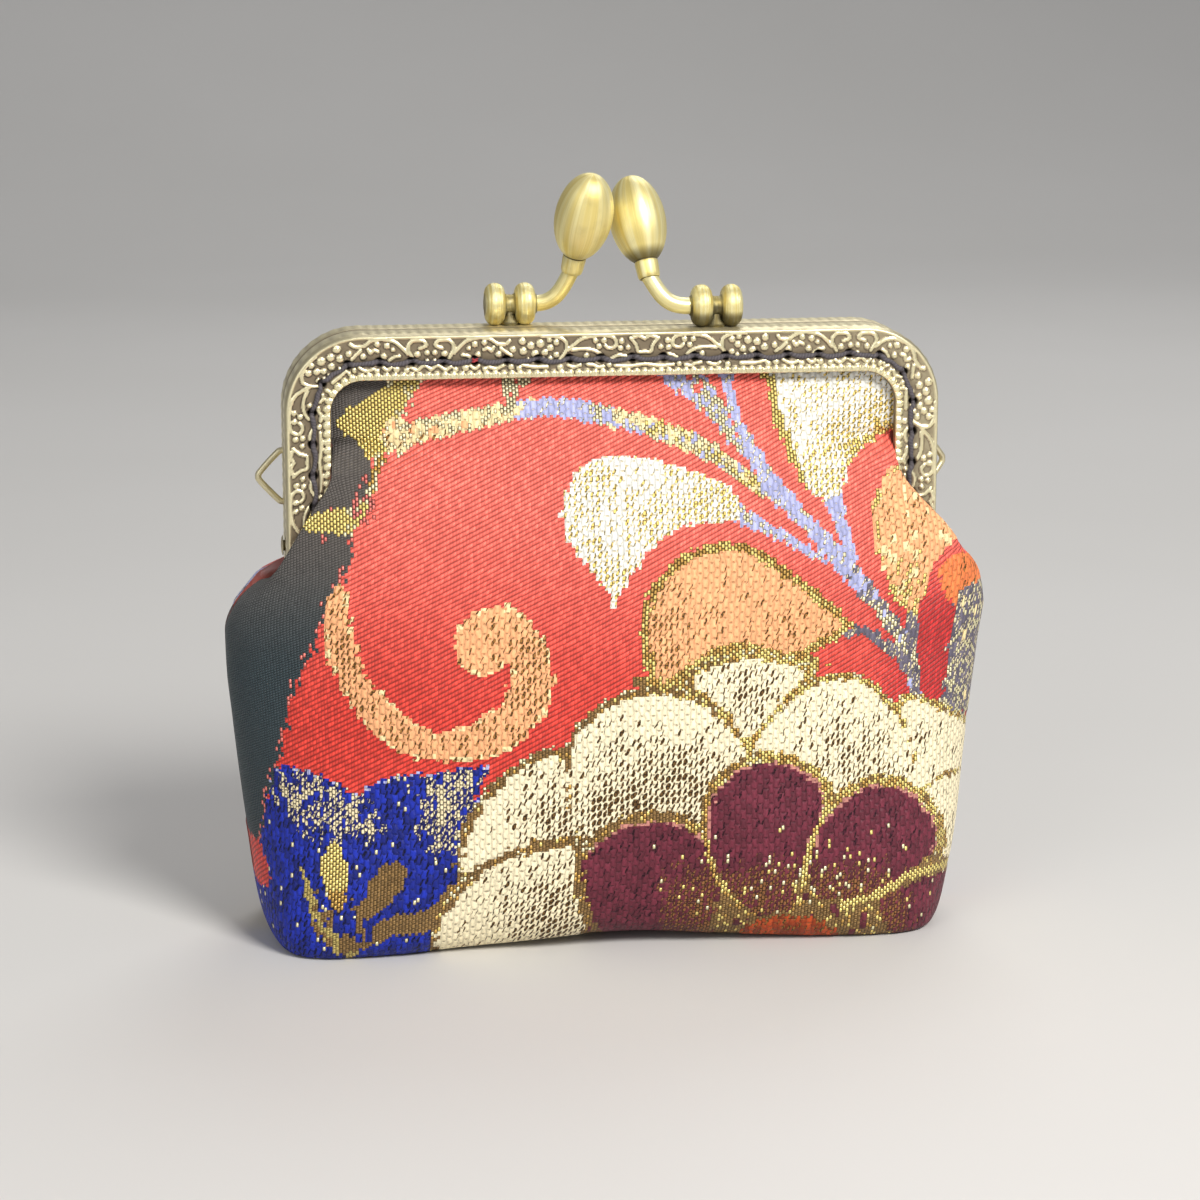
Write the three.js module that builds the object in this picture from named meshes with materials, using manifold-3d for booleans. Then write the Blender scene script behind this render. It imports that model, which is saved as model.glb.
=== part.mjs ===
// A kiss-lock coin purse: two brocade panels sewn into an embossed metal frame with an egg-knob clasp.
// Millimetres. X runs to the right, Y to the back and Z up. The base stands on Z = 0 under the origin.
import * as THREE from "three";
import { mergeVertices } from "three/addons/utils/BufferGeometryUtils.js";
import Module from "manifold-3d";

const wasm = await Module();
wasm.setup();

// Sizes that drive the parts

const GAP = 0.3;

const FRAME = {
  halfWidth: 42.5,
  top: 79.2,
  armEnd: 49,
  cornerRadius: 10,
  cornerSteps: 7,
  frontY: 5.3,
  faceWall: 0.9,
  ridge: 0.3,
  faceWidth: 5.9,
  crestWall: 0.9,
  backWallY: 0.95,
  splitY: 0.15,
};

const SEWING = { inset: 3.5, pitch: 4.05, holeRadius: 0.5, endMargin: 7 };

const RELIEF = { pitch: 9.2, halfSpan: 3.3, footInset: 3.0, peakInset: 1.35, width: 0.55, height: 0.4, steps: 5 };

const HINGE = { rise: 2.4, earRadius: 2.1, pinRadius: 0.7, headRadius: 1.35, headHeight: 0.55, cutTop: 5.0 };

const LOOP = { y: 2.7, wire: 0.42, upperZ: 63.4, lowerZ: 56.7, tipX: 45.7, tipHalf: 0.5, outerX: 43.1, innerX: 40.6 };

const CLASP = {
  baseY: 2.7,
  axisZ: 82.25,
  ringCentres: [-14.8, -10.9],
  ringRadius: 2.75,
  ringHalfWidth: 1.45,
  neckRadius: 1.25,
  rodRadius: 1.15,
  bendX: -6.9,
  pegRadius: 0.6,
  pegBottom: 77.4,
  knobCentre: new THREE.Vector3(-3.7, -1.45, 93.5),
};

const KNOB = { halfLength: 5.7, radius: 3.72, collarLength: 2.4, collarTop: 1.75, collarFoot: 1.45, socket: 1.05, tenon: 0.75 };

const CLOTH = { thickness: 1.2, cornerTuck: 7.7, cornerFree: 3.8, channelY: 4.1, columns: 20 };

// Half widths inside the frame: of the cloth's tucked edge, and of the rail's inner edge where the bulge starts
function cornerWidth(z, radius) {
  const rise = z - (FRAME.top - FRAME.cornerRadius);
  return FRAME.halfWidth - FRAME.cornerRadius + Math.sqrt(Math.max(0, radius ** 2 - Math.max(0, rise) ** 2));
}

// Three kinds of cloth section. A framed one has its edges inside the channel, a lapped one has them
// in front of the arms, and a seamed one has them at the side seam that joins the two panels.
// depth is the half depth in the middle, edge the half depth at the side edges, and seam the seam's shift in Y.
// flat and blunt are the powers of the section's curve, and waist pulls its middle in.
// inset narrows the lining side and lift raises it.
function framed(z, depth, blunt) {
  const width = cornerWidth(z, CLOTH.cornerTuck);
  const reach = cornerWidth(z, CLOTH.cornerFree);
  return { z, width, reach, depth, edge: CLOTH.channelY, seam: 0, flat: 2, blunt, inset: 0, lift: 0, waist: 0 };
}

function lapped(z, width, depth, edge, blunt, inset) {
  return { z, width, reach: width, depth, edge, seam: 0, flat: 2.2, blunt, inset, lift: 0, waist: 0 };
}

function seamed({ z, width, depth, seam, flat, blunt, inset, lift, edge = FRAME.splitY, waist = 0 }) {
  return { z, width, reach: width, depth, edge, seam, flat, blunt, inset, lift, waist };
}

// Sections from the top edge down the wall and under the base
const SECTIONS = [
  framed(76.9, 4.1, 1),
  framed(76.1, 4.1, 1),
  framed(74.8, 4.1, 1),
  framed(73.2, 4.1, 1),
  framed(71.2, 5.6, 1),
  framed(68.6, 7.0, 0.95),
  framed(66.2, 8.1, 1.0),
  lapped(65.0, 35.8, 8.6, 3.6, 0.95, 0),
  lapped(63.2, 36.0, 9.3, 5.4, 0.86, 0.2),
  lapped(61.4, 36.2, 10.0, 7.0, 0.86, 0.3),
  lapped(57.6, 38.9, 11.2, 7.3, 0.76, 0.4),
  lapped(53.4, 41.5, 12.5, 7.3, 0.68, 0.5),
  lapped(48.7, 44.6, 13.7, 7.1, 0.6, 0.6),
  seamed({ z: 48.2, width: 45.1, depth: 13.83, edge: 3.4, seam: -0.6, flat: 2, blunt: 0.335, inset: 0.8, lift: -1.0 }),
  seamed({ z: 47.6, width: 45.8, depth: 14.0, seam: -1.4, flat: 2, blunt: 0.27, inset: 1.2, lift: -1.0 }),
  seamed({ z: 44.4, width: 48.5, depth: 14.9, seam: -2.2, flat: 2, blunt: 0.34, inset: 1.4, lift: -0.6 }),
  seamed({ z: 40.6, width: 49.8, depth: 15.7, seam: -1.9, flat: 2, blunt: 0.4, inset: 1.4, lift: -0.2 }),
  seamed({ z: 36.0, width: 49.7, depth: 16.4, seam: -1.2, flat: 2.1, blunt: 0.45, inset: 1.3, lift: 0 }),
  seamed({ z: 29.0, width: 49.1, depth: 17.2, seam: -0.4, flat: 2.4, blunt: 0.47, inset: 1.3, lift: 0 }),
  seamed({ z: 21.0, width: 48.3, depth: 17.7, seam: 0, flat: 2.9, blunt: 0.46, inset: 1.3, lift: 0, waist: 0.01 }),
  seamed({ z: 13.0, width: 47.3, depth: 17.9, seam: 0, flat: 4.2, blunt: 0.42, inset: 1.3, lift: 0, waist: 0.03 }),
  seamed({ z: 6.0, width: 46.0, depth: 17.8, seam: 0, flat: 6.5, blunt: 0.37, inset: 1.2, lift: 0.2, waist: 0.07 }),
  seamed({ z: 1.8, width: 44.6, depth: 17.2, seam: 0, flat: 10, blunt: 0.32, inset: 1.0, lift: 0.7, waist: 0.13 }),
  seamed({ z: 0, width: 43.2, depth: 15.8, seam: 0, flat: 14, blunt: 0.28, inset: 0.8, lift: 1.2, waist: 0.22 }),
  seamed({ z: 0, width: 42.2, depth: 8.0, seam: 0, flat: 16, blunt: 0.28, inset: 0.6, lift: 1.2, waist: 0.2 }),
  seamed({ z: 0, width: 41.9, depth: 0.15, seam: 0, flat: 16, blunt: 0.28, inset: 0.4, lift: 1.2 }),
];

// One horizontal section of a panel, from its left edge to its right edge
class PanelSection extends THREE.Curve {
  constructor(row, side, lining) {
    super();
    const wall = lining ? CLOTH.thickness : 0;
    this.side = side;
    this.z = row.z + (lining ? row.lift : 0);
    this.width = row.width - (lining ? row.inset : 0);
    this.reach = row.reach - (lining ? row.inset : 0);
    this.edge = Math.max(row.edge - wall, FRAME.splitY);
    this.depth = Math.max(row.depth - wall, this.edge);
    this.seam = row.seam;
    this.flat = row.flat;
    this.blunt = row.blunt;
    this.waist = row.waist;
  }

  getPoint(u, target = new THREE.Vector3()) {
    const x = -this.width * Math.cos(Math.PI * u);
    const across = Math.min(1, Math.abs(x) / this.reach);
    const bulge = (1 - across ** this.flat) ** this.blunt * (1 - this.waist * (1 - across ** 2));
    const edgeY = this.side * this.edge + this.seam;
    const middleY = this.side * this.depth;
    return target.set(x, edgeY + (middleY - edgeY) * bulge, this.z);
  }
}

// A closed sheet between an outer and an inner grid of points
function closedSheet(outer, inner, flip) {
  const rows = outer.length;
  const columns = outer[0].length;
  const layer = rows * columns;
  const positions = [...outer.flat(), ...inner.flat()].flatMap((p) => [p.x, p.y, p.z]);
  const faces = [];
  const quad = (a, b, c, d) => faces.push([a, b, c], [a, c, d]);
  for (let i = 0; i < rows - 1; i++) {
    for (let j = 0; j < columns - 1; j++) {
      const a = i * columns + j;
      quad(a, a + columns, a + columns + 1, a + 1);
      quad(layer + a, layer + a + 1, layer + a + columns + 1, layer + a + columns);
    }
  }
  const rim = [];
  for (let j = 0; j < columns - 1; j++) rim.push(j);
  for (let i = 0; i < rows - 1; i++) rim.push(i * columns + columns - 1);
  for (let j = columns - 1; j > 0; j--) rim.push((rows - 1) * columns + j);
  for (let i = rows - 1; i > 0; i--) rim.push(i * columns);
  rim.forEach((a, k) => {
    const b = rim[(k + 1) % rim.length];
    quad(a, b, layer + b, layer + a);
  });
  return indexed(positions, faces, flip);
}

function indexed(positions, faces, flip = false) {
  const geometry = new THREE.BufferGeometry();
  geometry.setAttribute("position", new THREE.Float32BufferAttribute(positions, 3));
  geometry.setIndex(faces.flatMap(([a, b, c]) => (flip ? [a, c, b] : [a, b, c])));
  return geometry;
}

function panel(side) {
  const grid = (lining) =>
    SECTIONS.map((row) => new PanelSection(row, side, lining).getPoints(CLOTH.columns));
  return closedSheet(grid(false), grid(true), side > 0);
}

// Solids for joining and cutting

function solid(geometry) {
  const bare = geometry.clone();
  bare.deleteAttribute("normal");
  bare.deleteAttribute("uv");
  const merged = mergeVertices(bare, 1e-4);
  return new wasm.Manifold(
    new wasm.Mesh({
      numProp: 3,
      vertProperties: Float32Array.from(merged.attributes.position.array),
      triVerts: Uint32Array.from(merged.index.array),
    })
  );
}

function geometryOf(manifold) {
  const mesh = manifold.getMesh();
  const geometry = new THREE.BufferGeometry();
  geometry.setAttribute("position", new THREE.BufferAttribute(Float32Array.from(mesh.vertProperties), 3));
  geometry.setIndex(Array.from(mesh.triVerts));
  return geometry;
}

function joined(base, pieces) {
  return pieces.reduce((whole, piece) => whole.add(solid(piece)), base);
}

function cutBy(base, pieces) {
  return pieces.reduce((whole, piece) => whole.subtract(solid(piece)), base);
}

function box(x0, x1, y0, y1, z0, z1) {
  const geometry = new THREE.BoxGeometry(Math.abs(x1 - x0), Math.abs(y1 - y0), Math.abs(z1 - z0));
  return geometry.translate((x0 + x1) / 2, (y0 + y1) / 2, (z0 + z1) / 2);
}

function rodAlongX(x0, x1, y, z, radius, sides) {
  const geometry = new THREE.CylinderGeometry(radius, radius, Math.abs(x1 - x0), sides);
  return geometry.rotateZ(Math.PI / 2).translate((x0 + x1) / 2, y, z);
}

function rodAlongY(x, y0, y1, z, radius, sides) {
  const geometry = new THREE.CylinderGeometry(radius, radius, Math.abs(y1 - y0), sides);
  return geometry.translate(x, (y0 + y1) / 2, z);
}

function rodAlongZ(x, y, z0, z1, radius, sides) {
  const geometry = new THREE.CylinderGeometry(radius, radius, Math.abs(z1 - z0), sides);
  return geometry.rotateX(Math.PI / 2).translate(x, y, (z0 + z1) / 2);
}

function tube(path, radius, sides, steps) {
  const outline = new THREE.Shape(
    Array.from({ length: sides }, (_, i) => {
      const turn = (2 * Math.PI * i) / sides;
      return new THREE.Vector2(radius * Math.cos(turn), radius * Math.sin(turn));
    })
  );
  return new THREE.ExtrudeGeometry(outline, { extrudePath: path, steps, bevelEnabled: false });
}

// The rail runs up the left arm, round both corners and down the right arm.
// A place on it has a point on a line held at one inset from the outer edge, and the way inward.

function railLength(inset) {
  const arm = FRAME.top - FRAME.cornerRadius - FRAME.armEnd;
  const corner = (Math.PI / 2) * (FRAME.cornerRadius - inset);
  const bar = 2 * (FRAME.halfWidth - FRAME.cornerRadius);
  return { arm, corner, bar, total: 2 * arm + 2 * corner + bar };
}

function railPlace(distance, inset) {
  const { arm, corner, bar, total } = railLength(inset);
  const side = distance < total / 2 ? -1 : 1;
  const fromEnd = Math.min(distance, total - distance);
  const turn = (Math.PI / 2) * THREE.MathUtils.clamp((fromEnd - arm) / corner, 0, 1);
  const radius = FRAME.cornerRadius - inset;
  const straightUp = Math.min(fromEnd, arm) - arm;
  const straightIn = Math.max(0, fromEnd - arm - corner);
  return {
    x: side * (FRAME.halfWidth - FRAME.cornerRadius - straightIn + radius * Math.cos(turn)),
    z: FRAME.top - FRAME.cornerRadius + straightUp + radius * Math.sin(turn),
    inX: -side * Math.cos(turn),
    inZ: -Math.sin(turn),
    bar,
  };
}

// The channel's cross-section: inset from the outer edge and distance from the split plane
const CHANNEL = [
  { inset: 1.3, y: FRAME.frontY },
  { inset: 4.9, y: FRAME.frontY },
  { inset: 5.1, y: FRAME.frontY + FRAME.ridge },
  { inset: 5.7, y: FRAME.frontY + FRAME.ridge },
  { inset: FRAME.faceWidth, y: FRAME.frontY },
  { inset: FRAME.faceWidth, y: FRAME.frontY - FRAME.faceWall },
  { inset: FRAME.crestWall, y: FRAME.frontY - FRAME.faceWall },
  { inset: FRAME.crestWall, y: FRAME.backWallY },
  { inset: 4.2, y: FRAME.backWallY },
  { inset: 4.2, y: FRAME.splitY },
  { inset: 0.35, y: FRAME.splitY },
  { inset: 0, y: 0.5 },
  { inset: 0, y: FRAME.frontY - 0.7 },
  { inset: 0.3, y: FRAME.frontY + 0.05 },
  { inset: 0.6, y: FRAME.frontY + FRAME.ridge },
  { inset: 1.1, y: FRAME.frontY + FRAME.ridge },
];

function railBody(side) {
  const { arm, corner, total } = railLength(0);
  const distances = [0];
  for (let i = 0; i <= FRAME.cornerSteps; i++) distances.push(arm + (corner * i) / FRAME.cornerSteps);
  for (let i = FRAME.cornerSteps; i >= 0; i--) distances.push(total - arm - (corner * i) / FRAME.cornerSteps);
  distances.push(total);
  distances.sort((a, b) => a - b);
  const ring = CHANNEL.length;
  const positions = distances.flatMap((distance) => {
    const place = railPlace(distance, 0);
    return CHANNEL.flatMap(({ inset, y }) => [place.x + place.inX * inset, side * y, place.z + place.inZ * inset]);
  });
  const faces = [];
  for (let i = 0; i < distances.length - 1; i++) {
    for (let j = 0; j < ring; j++) {
      const a = i * ring + j;
      const b = i * ring + ((j + 1) % ring);
      faces.push([a, b, b + ring], [a, b + ring, a + ring]);
    }
  }
  const outline = CHANNEL.map(({ inset, y }) => new THREE.Vector2(inset, y));
  const last = (distances.length - 1) * ring;
  for (const [a, b, c] of THREE.ShapeUtils.triangulateShape(outline, [])) {
    faces.push([a, b, c], [last + a, last + c, last + b]);
  }
  return indexed(positions, faces, side > 0);
}

function sewingHoles(side) {
  const { total } = railLength(SEWING.inset);
  const count = Math.floor((total - 2 * SEWING.endMargin) / SEWING.pitch) + 1;
  const start = (total - (count - 1) * SEWING.pitch) / 2;
  return Array.from({ length: count }, (_, i) => {
    const place = railPlace(start + i * SEWING.pitch, SEWING.inset);
    return rodAlongY(place.x, side * (FRAME.frontY - 1.5), side * (FRAME.frontY + 0.8), place.z, SEWING.holeRadius, 5);
  });
}

// Raised scroll arches and dots on the outward face
function reliefArch(side, centre) {
  const positions = [];
  const faces = [];
  const middle = (RELIEF.footInset + RELIEF.peakInset) / 2;
  for (let i = 0; i <= RELIEF.steps; i++) {
    const swing = (Math.PI * i) / RELIEF.steps;
    const distance = centre - RELIEF.halfSpan * Math.cos(swing);
    const inset = RELIEF.footInset - (RELIEF.footInset - RELIEF.peakInset) * Math.sin(swing);
    const place = railPlace(distance, middle);
    const reach = (shift) => [place.x + place.inX * shift, place.z + place.inZ * shift];
    const [topX, topZ] = reach(inset - middle);
    const [outX, outZ] = reach(inset - middle - RELIEF.width / 2 - 0.2 * Math.sin(swing));
    const [inX, inZ] = reach(inset - middle + RELIEF.width / 2);
    positions.push(topX, side * (FRAME.frontY + RELIEF.height), topZ);
    positions.push(outX, side * (FRAME.frontY - 0.3), outZ);
    positions.push(inX, side * (FRAME.frontY - 0.3), inZ);
  }
  for (let i = 0; i < RELIEF.steps; i++) {
    for (let j = 0; j < 3; j++) {
      const a = 3 * i + j;
      const b = 3 * i + ((j + 1) % 3);
      faces.push([a, b, b + 3], [a, b + 3, a + 3]);
    }
  }
  const last = 3 * RELIEF.steps;
  faces.push([0, 2, 1], [last, last + 1, last + 2]);
  return indexed(positions, faces, side < 0);
}

function reliefDot(side, distance, inset, radius) {
  const place = railPlace(distance, inset);
  const cone = new THREE.CylinderGeometry(radius * 0.45, radius * 1.25, 0.65, 6);
  if (side < 0) cone.rotateX(Math.PI);
  return cone.translate(place.x, side * (FRAME.frontY + 0.03), place.z);
}

function relief(side) {
  const middle = (RELIEF.footInset + RELIEF.peakInset) / 2;
  const { total } = railLength(middle);
  const count = Math.floor((total - 12) / RELIEF.pitch);
  const start = (total - (count - 1) * RELIEF.pitch) / 2;
  const pieces = [];
  for (let i = 0; i < count; i++) {
    const centre = start + i * RELIEF.pitch;
    pieces.push(reliefArch(side, centre));
    pieces.push(reliefDot(side, centre + RELIEF.pitch / 2, 1.85, 0.42));
  }
  return pieces;
}

// Hinge ears at the arm ends. The front rail's ears lie outside those of the back rail.
function earPlate(x0, x1, reachY, backY, hingeZ) {
  const disc = rodAlongX(x0, x1, 0, hingeZ, HINGE.earRadius, 12);
  const strap = box(x0, x1, reachY, backY, hingeZ - HINGE.earRadius, hingeZ + HINGE.earRadius);
  return [disc, strap];
}

function rail(side) {
  const hingeZ = FRAME.armEnd + HINGE.rise;
  const cutTop = FRAME.armEnd + HINGE.cutTop;
  const isFront = side < 0;
  const outer = FRAME.halfWidth;
  let body = joined(solid(railBody(side)), relief(side));
  body = cutBy(body, sewingHoles(side));
  for (const hand of [-1, 1]) {
    const innerWall = box(hand * (outer - 0.95), hand * 37, side * 0, side * 1.3, FRAME.armEnd - 1, cutTop);
    body = cutBy(body, [innerWall]);
    if (isFront) {
      body = joined(body, earPlate(hand * outer, hand * (outer - 0.8), -1.6, 0, hingeZ));
    } else {
      const clearance = box(hand * (outer + 1), hand * (outer - 1), -1, 2.6, FRAME.armEnd - 1, cutTop);
      body = cutBy(body, [clearance]);
      body = joined(body, earPlate(hand * (outer - 1.1), hand * (outer - 1.9), FRAME.frontY - 0.5, 0, hingeZ));
      for (const z of [LOOP.upperZ, LOOP.lowerZ]) {
        const hole = rodAlongX(hand * (outer + 1), hand * (outer - 1.6), LOOP.y, z, LOOP.wire + GAP, 8);
        body = cutBy(body, [hole]);
      }
    }
    const pinHole = rodAlongX(hand * (outer + 1), hand * (outer - 3), 0, hingeZ, HINGE.pinRadius + GAP, 10);
    body = cutBy(body, [pinHole]);
  }
  const middleRing = (CLASP.ringCentres[0] + CLASP.ringCentres[1]) / 2;
  const pegX = isFront ? -middleRing : middleRing;
  const pegHole = rodAlongZ(pegX, side * CLASP.baseY, FRAME.top - 1.5, FRAME.top + 1, CLASP.pegRadius + GAP, 8);
  return geometryOf(cutBy(body, [pegHole]));
}

function rivet(hand) {
  const hingeZ = FRAME.armEnd + HINGE.rise;
  const outer = FRAME.halfWidth;
  const profile = [
    new THREE.Vector2(0, HINGE.headHeight + GAP),
    new THREE.Vector2(HINGE.headRadius * 0.6, HINGE.headHeight * 0.8 + GAP),
    new THREE.Vector2(HINGE.headRadius, GAP),
    new THREE.Vector2(HINGE.pinRadius, GAP),
    new THREE.Vector2(HINGE.pinRadius, -2.2),
    new THREE.Vector2(HINGE.headRadius, -2.2),
    new THREE.Vector2(HINGE.headRadius, -2.7),
    new THREE.Vector2(0, -2.7),
  ].reverse();
  const geometry = new THREE.LatheGeometry(profile, 12);
  geometry.rotateZ(hand > 0 ? -Math.PI / 2 : Math.PI / 2);
  return geometryOf(solid(geometry.translate(hand * outer, 0, hingeZ)));
}

function sideLoop(hand) {
  const middleZ = (LOOP.upperZ + LOOP.lowerZ) / 2;
  const at = (x, z) => new THREE.Vector3(hand * x, LOOP.y, z);
  const path = new THREE.CatmullRomCurve3(
    [
      at(LOOP.innerX, LOOP.upperZ),
      at(LOOP.outerX - 0.5, LOOP.upperZ),
      at(LOOP.outerX + 0.25, LOOP.upperZ - 0.45),
      at(LOOP.tipX - 0.35, middleZ + LOOP.tipHalf + 0.25),
      at(LOOP.tipX, middleZ),
      at(LOOP.tipX - 0.35, middleZ - LOOP.tipHalf - 0.25),
      at(LOOP.outerX + 0.25, LOOP.lowerZ + 0.45),
      at(LOOP.outerX - 0.5, LOOP.lowerZ),
      at(LOOP.innerX, LOOP.lowerZ),
    ],
    false,
    "centripetal"
  );
  return geometryOf(solid(tube(path, LOOP.wire, 6, 20)));
}

// The clasp: a twin-ring base, a rod bent up from it and an egg knob on a collar

function claspAxis() {
  const bend = new THREE.Vector3(CLASP.bendX, CLASP.baseY, CLASP.axisZ);
  const direction = CLASP.knobCentre.clone().sub(bend).normalize();
  return { bend, direction };
}

function knobFoot() {
  return KNOB.halfLength * Math.sqrt(1 - (KNOB.collarTop / KNOB.radius) ** 2);
}

function spool() {
  const profile = [];
  const [first, second] = CLASP.ringCentres;
  for (const centre of [first, second]) {
    for (let i = 0; i <= 6; i++) {
      const swing = (Math.PI * i) / 6;
      const radius = CLASP.neckRadius + (CLASP.ringRadius - CLASP.neckRadius) * Math.sin(swing) ** 0.7;
      profile.push(new THREE.Vector2(radius, centre - CLASP.ringHalfWidth * Math.cos(swing)));
    }
  }
  const start = new THREE.Vector2(0, first - CLASP.ringHalfWidth - 0.25);
  const end = new THREE.Vector2(0, second + CLASP.ringHalfWidth);
  const geometry = new THREE.LatheGeometry([start, ...profile, end], 12);
  geometry.rotateZ(-Math.PI / 2).translate(0, CLASP.baseY, CLASP.axisZ);
  return geometry;
}

function claspArm() {
  const { bend, direction } = claspAxis();
  const knobDistance = CLASP.knobCentre.distanceTo(bend);
  const shoulder = knobDistance - knobFoot() - KNOB.collarLength - GAP;
  const rodStart = new THREE.Vector3(CLASP.ringCentres[1], CLASP.baseY, CLASP.axisZ);
  const bendStart = new THREE.Vector3(CLASP.bendX - 1.9, CLASP.baseY, CLASP.axisZ);
  const bendEnd = bend.clone().addScaledVector(direction, 1.9);
  const path = new THREE.CurvePath();
  path.add(new THREE.LineCurve3(rodStart, bendStart));
  path.add(new THREE.QuadraticBezierCurve3(bendStart, bend, bendEnd));
  path.add(new THREE.LineCurve3(bendEnd, bend.clone().addScaledVector(direction, shoulder)));
  const tenonPath = new THREE.LineCurve3(
    bend.clone().addScaledVector(direction, shoulder - 0.8),
    bend.clone().addScaledVector(direction, shoulder + 1.9)
  );
  const middleRing = (CLASP.ringCentres[0] + CLASP.ringCentres[1]) / 2;
  const peg = rodAlongZ(middleRing, CLASP.baseY, CLASP.pegBottom, CLASP.axisZ, CLASP.pegRadius, 8);
  const rod = tube(path, CLASP.rodRadius, 9, 12);
  const tenon = tube(tenonPath, KNOB.tenon, 8, 1);
  return joined(solid(spool()), [rod, tenon, peg]);
}

function claspKnob() {
  const { direction } = claspAxis();
  const foot = knobFoot();
  const collarBottom = -foot - KNOB.collarLength;
  const socketTop = collarBottom + 2.6;
  const profile = [
    new THREE.Vector2(0, socketTop),
    new THREE.Vector2(KNOB.socket, socketTop),
    new THREE.Vector2(KNOB.socket, collarBottom),
    new THREE.Vector2(KNOB.collarFoot, collarBottom),
    new THREE.Vector2(KNOB.collarTop, collarBottom + 0.5),
    new THREE.Vector2(KNOB.collarTop - 0.15, -foot - 0.3),
  ];
  const steps = 11;
  const startTurn = Math.asin(foot / KNOB.halfLength);
  for (let i = 0; i <= steps; i++) {
    const turn = -startTurn + ((Math.PI / 2 + startTurn) * i) / steps;
    const radius = i === steps ? 0 : KNOB.radius * Math.cos(turn);
    profile.push(new THREE.Vector2(radius, KNOB.halfLength * Math.sin(turn)));
  }
  const geometry = new THREE.LatheGeometry(profile, 16);
  const tilt = new THREE.Quaternion().setFromUnitVectors(new THREE.Vector3(0, 1, 0), direction);
  geometry.applyQuaternion(tilt);
  return solid(geometry.translate(CLASP.knobCentre.x, CLASP.knobCentre.y, CLASP.knobCentre.z));
}

// The right half of the clasp is the left half turned half round the upright axis
function turnedHalf(manifold) {
  return geometryOf(manifold).rotateZ(Math.PI);
}

// Materials and the assembly

const brocade = new THREE.MeshStandardMaterial({ name: "brocade", color: 0xb23a3c, roughness: 0.8, metalness: 0 });
const brass = new THREE.MeshStandardMaterial({ name: "antique_brass", color: 0x7d6a45, roughness: 0.4, metalness: 1 });
const gilt = new THREE.MeshStandardMaterial({ name: "knob_brass", color: 0xb08d4f, roughness: 0.3, metalness: 1 });

const purse = new THREE.Group();
purse.name = "kiss_lock_purse";

function place(name, geometry, material) {
  const clean = geometry.index ? geometry : mergeVertices(geometry);
  clean.computeVertexNormals();
  const mesh = new THREE.Mesh(clean, material);
  mesh.name = name;
  purse.add(mesh);
}

const arm = claspArm();
const knob = claspKnob();

place("panel_front", panel(-1), brocade);
place("panel_back", panel(1), brocade);
place("frame_front", rail(-1), brass);
place("frame_back", rail(1), brass);
place("hinge_rivet_left", rivet(-1), brass);
place("hinge_rivet_right", rivet(1), brass);
place("side_loop_left", sideLoop(-1), brass);
place("side_loop_right", sideLoop(1), brass);
place("clasp_arm_left", geometryOf(arm), brass);
place("clasp_arm_right", turnedHalf(arm), brass);
place("clasp_knob_left", geometryOf(knob), gilt);
place("clasp_knob_right", turnedHalf(knob), gilt);

export default purse;
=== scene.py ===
"""A kiss-lock coin purse dressed over its CAD frame: brocade panels in an embossed, sewn metal rail."""

import math

import bpy
import numpy as np
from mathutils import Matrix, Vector


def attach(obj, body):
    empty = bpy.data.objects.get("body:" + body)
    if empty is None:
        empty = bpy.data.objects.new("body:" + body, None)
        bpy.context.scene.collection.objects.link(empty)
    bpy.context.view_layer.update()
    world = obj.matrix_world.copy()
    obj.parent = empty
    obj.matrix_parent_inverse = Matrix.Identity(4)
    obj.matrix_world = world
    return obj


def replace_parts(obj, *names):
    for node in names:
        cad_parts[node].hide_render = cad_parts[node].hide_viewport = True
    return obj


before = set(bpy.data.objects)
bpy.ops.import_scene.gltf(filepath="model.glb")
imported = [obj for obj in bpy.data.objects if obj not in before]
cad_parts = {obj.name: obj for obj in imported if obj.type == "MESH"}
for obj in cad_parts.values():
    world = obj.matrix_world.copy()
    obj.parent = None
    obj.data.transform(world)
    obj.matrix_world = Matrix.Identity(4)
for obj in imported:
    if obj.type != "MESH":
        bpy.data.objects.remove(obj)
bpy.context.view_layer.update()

# Sizes are in millimetres until a mesh is made
MM = 0.001

# Camera

PICTURE = 1200
SENSOR = 36.0
FOCAL = 3189.6
AZIMUTH = math.radians(-8.0)
ELEVATION = math.radians(12.0)
DISTANCE = 420.0
TARGET = np.array([-1.4, 0.0, 42.93])
RIGHT = np.array([math.cos(AZIMUTH), math.sin(AZIMUTH), 0.0])
BACK = math.cos(ELEVATION) * np.array([math.sin(AZIMUTH), -math.cos(AZIMUTH), math.tan(ELEVATION)])
UP = np.cross(BACK, RIGHT)
EYE = TARGET + BACK * DISTANCE


def add_object(name, data):
    made = bpy.data.objects.new(name, data)
    bpy.context.scene.collection.objects.link(made)
    return made


def aim(made, place, target):
    """Places a camera or light and points it at a target, both in metres."""
    made.location = Vector(place)
    made.rotation_mode = "QUATERNION"
    made.rotation_quaternion = (Vector(target) - Vector(place)).to_track_quat("-Z", "Y")


def make_camera():
    data = bpy.data.cameras.new("camera")
    data.sensor_width = SENSOR
    data.lens = FOCAL * SENSOR / PICTURE
    data.clip_start = 0.02
    data.clip_end = 20
    camera = add_object("camera", data)
    aim(camera, EYE * MM, TARGET * MM)
    bpy.context.scene.camera = camera


def sketch(points):
    """The drawing's coordinates of points: a square of 1200 units as the camera sees it."""
    away = points - EYE
    depth = away @ -BACK
    return PICTURE / 2 + FOCAL * (away @ RIGHT) / depth, PICTURE / 2 - FOCAL * (away @ UP) / depth


# Small tools


def linear(colour):
    """An 8-bit screen colour as linear values."""
    part = np.array(colour, float) / 255
    return np.where(part <= 0.04045, part / 12.92, ((part + 0.055) / 1.055) ** 2.4)


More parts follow.
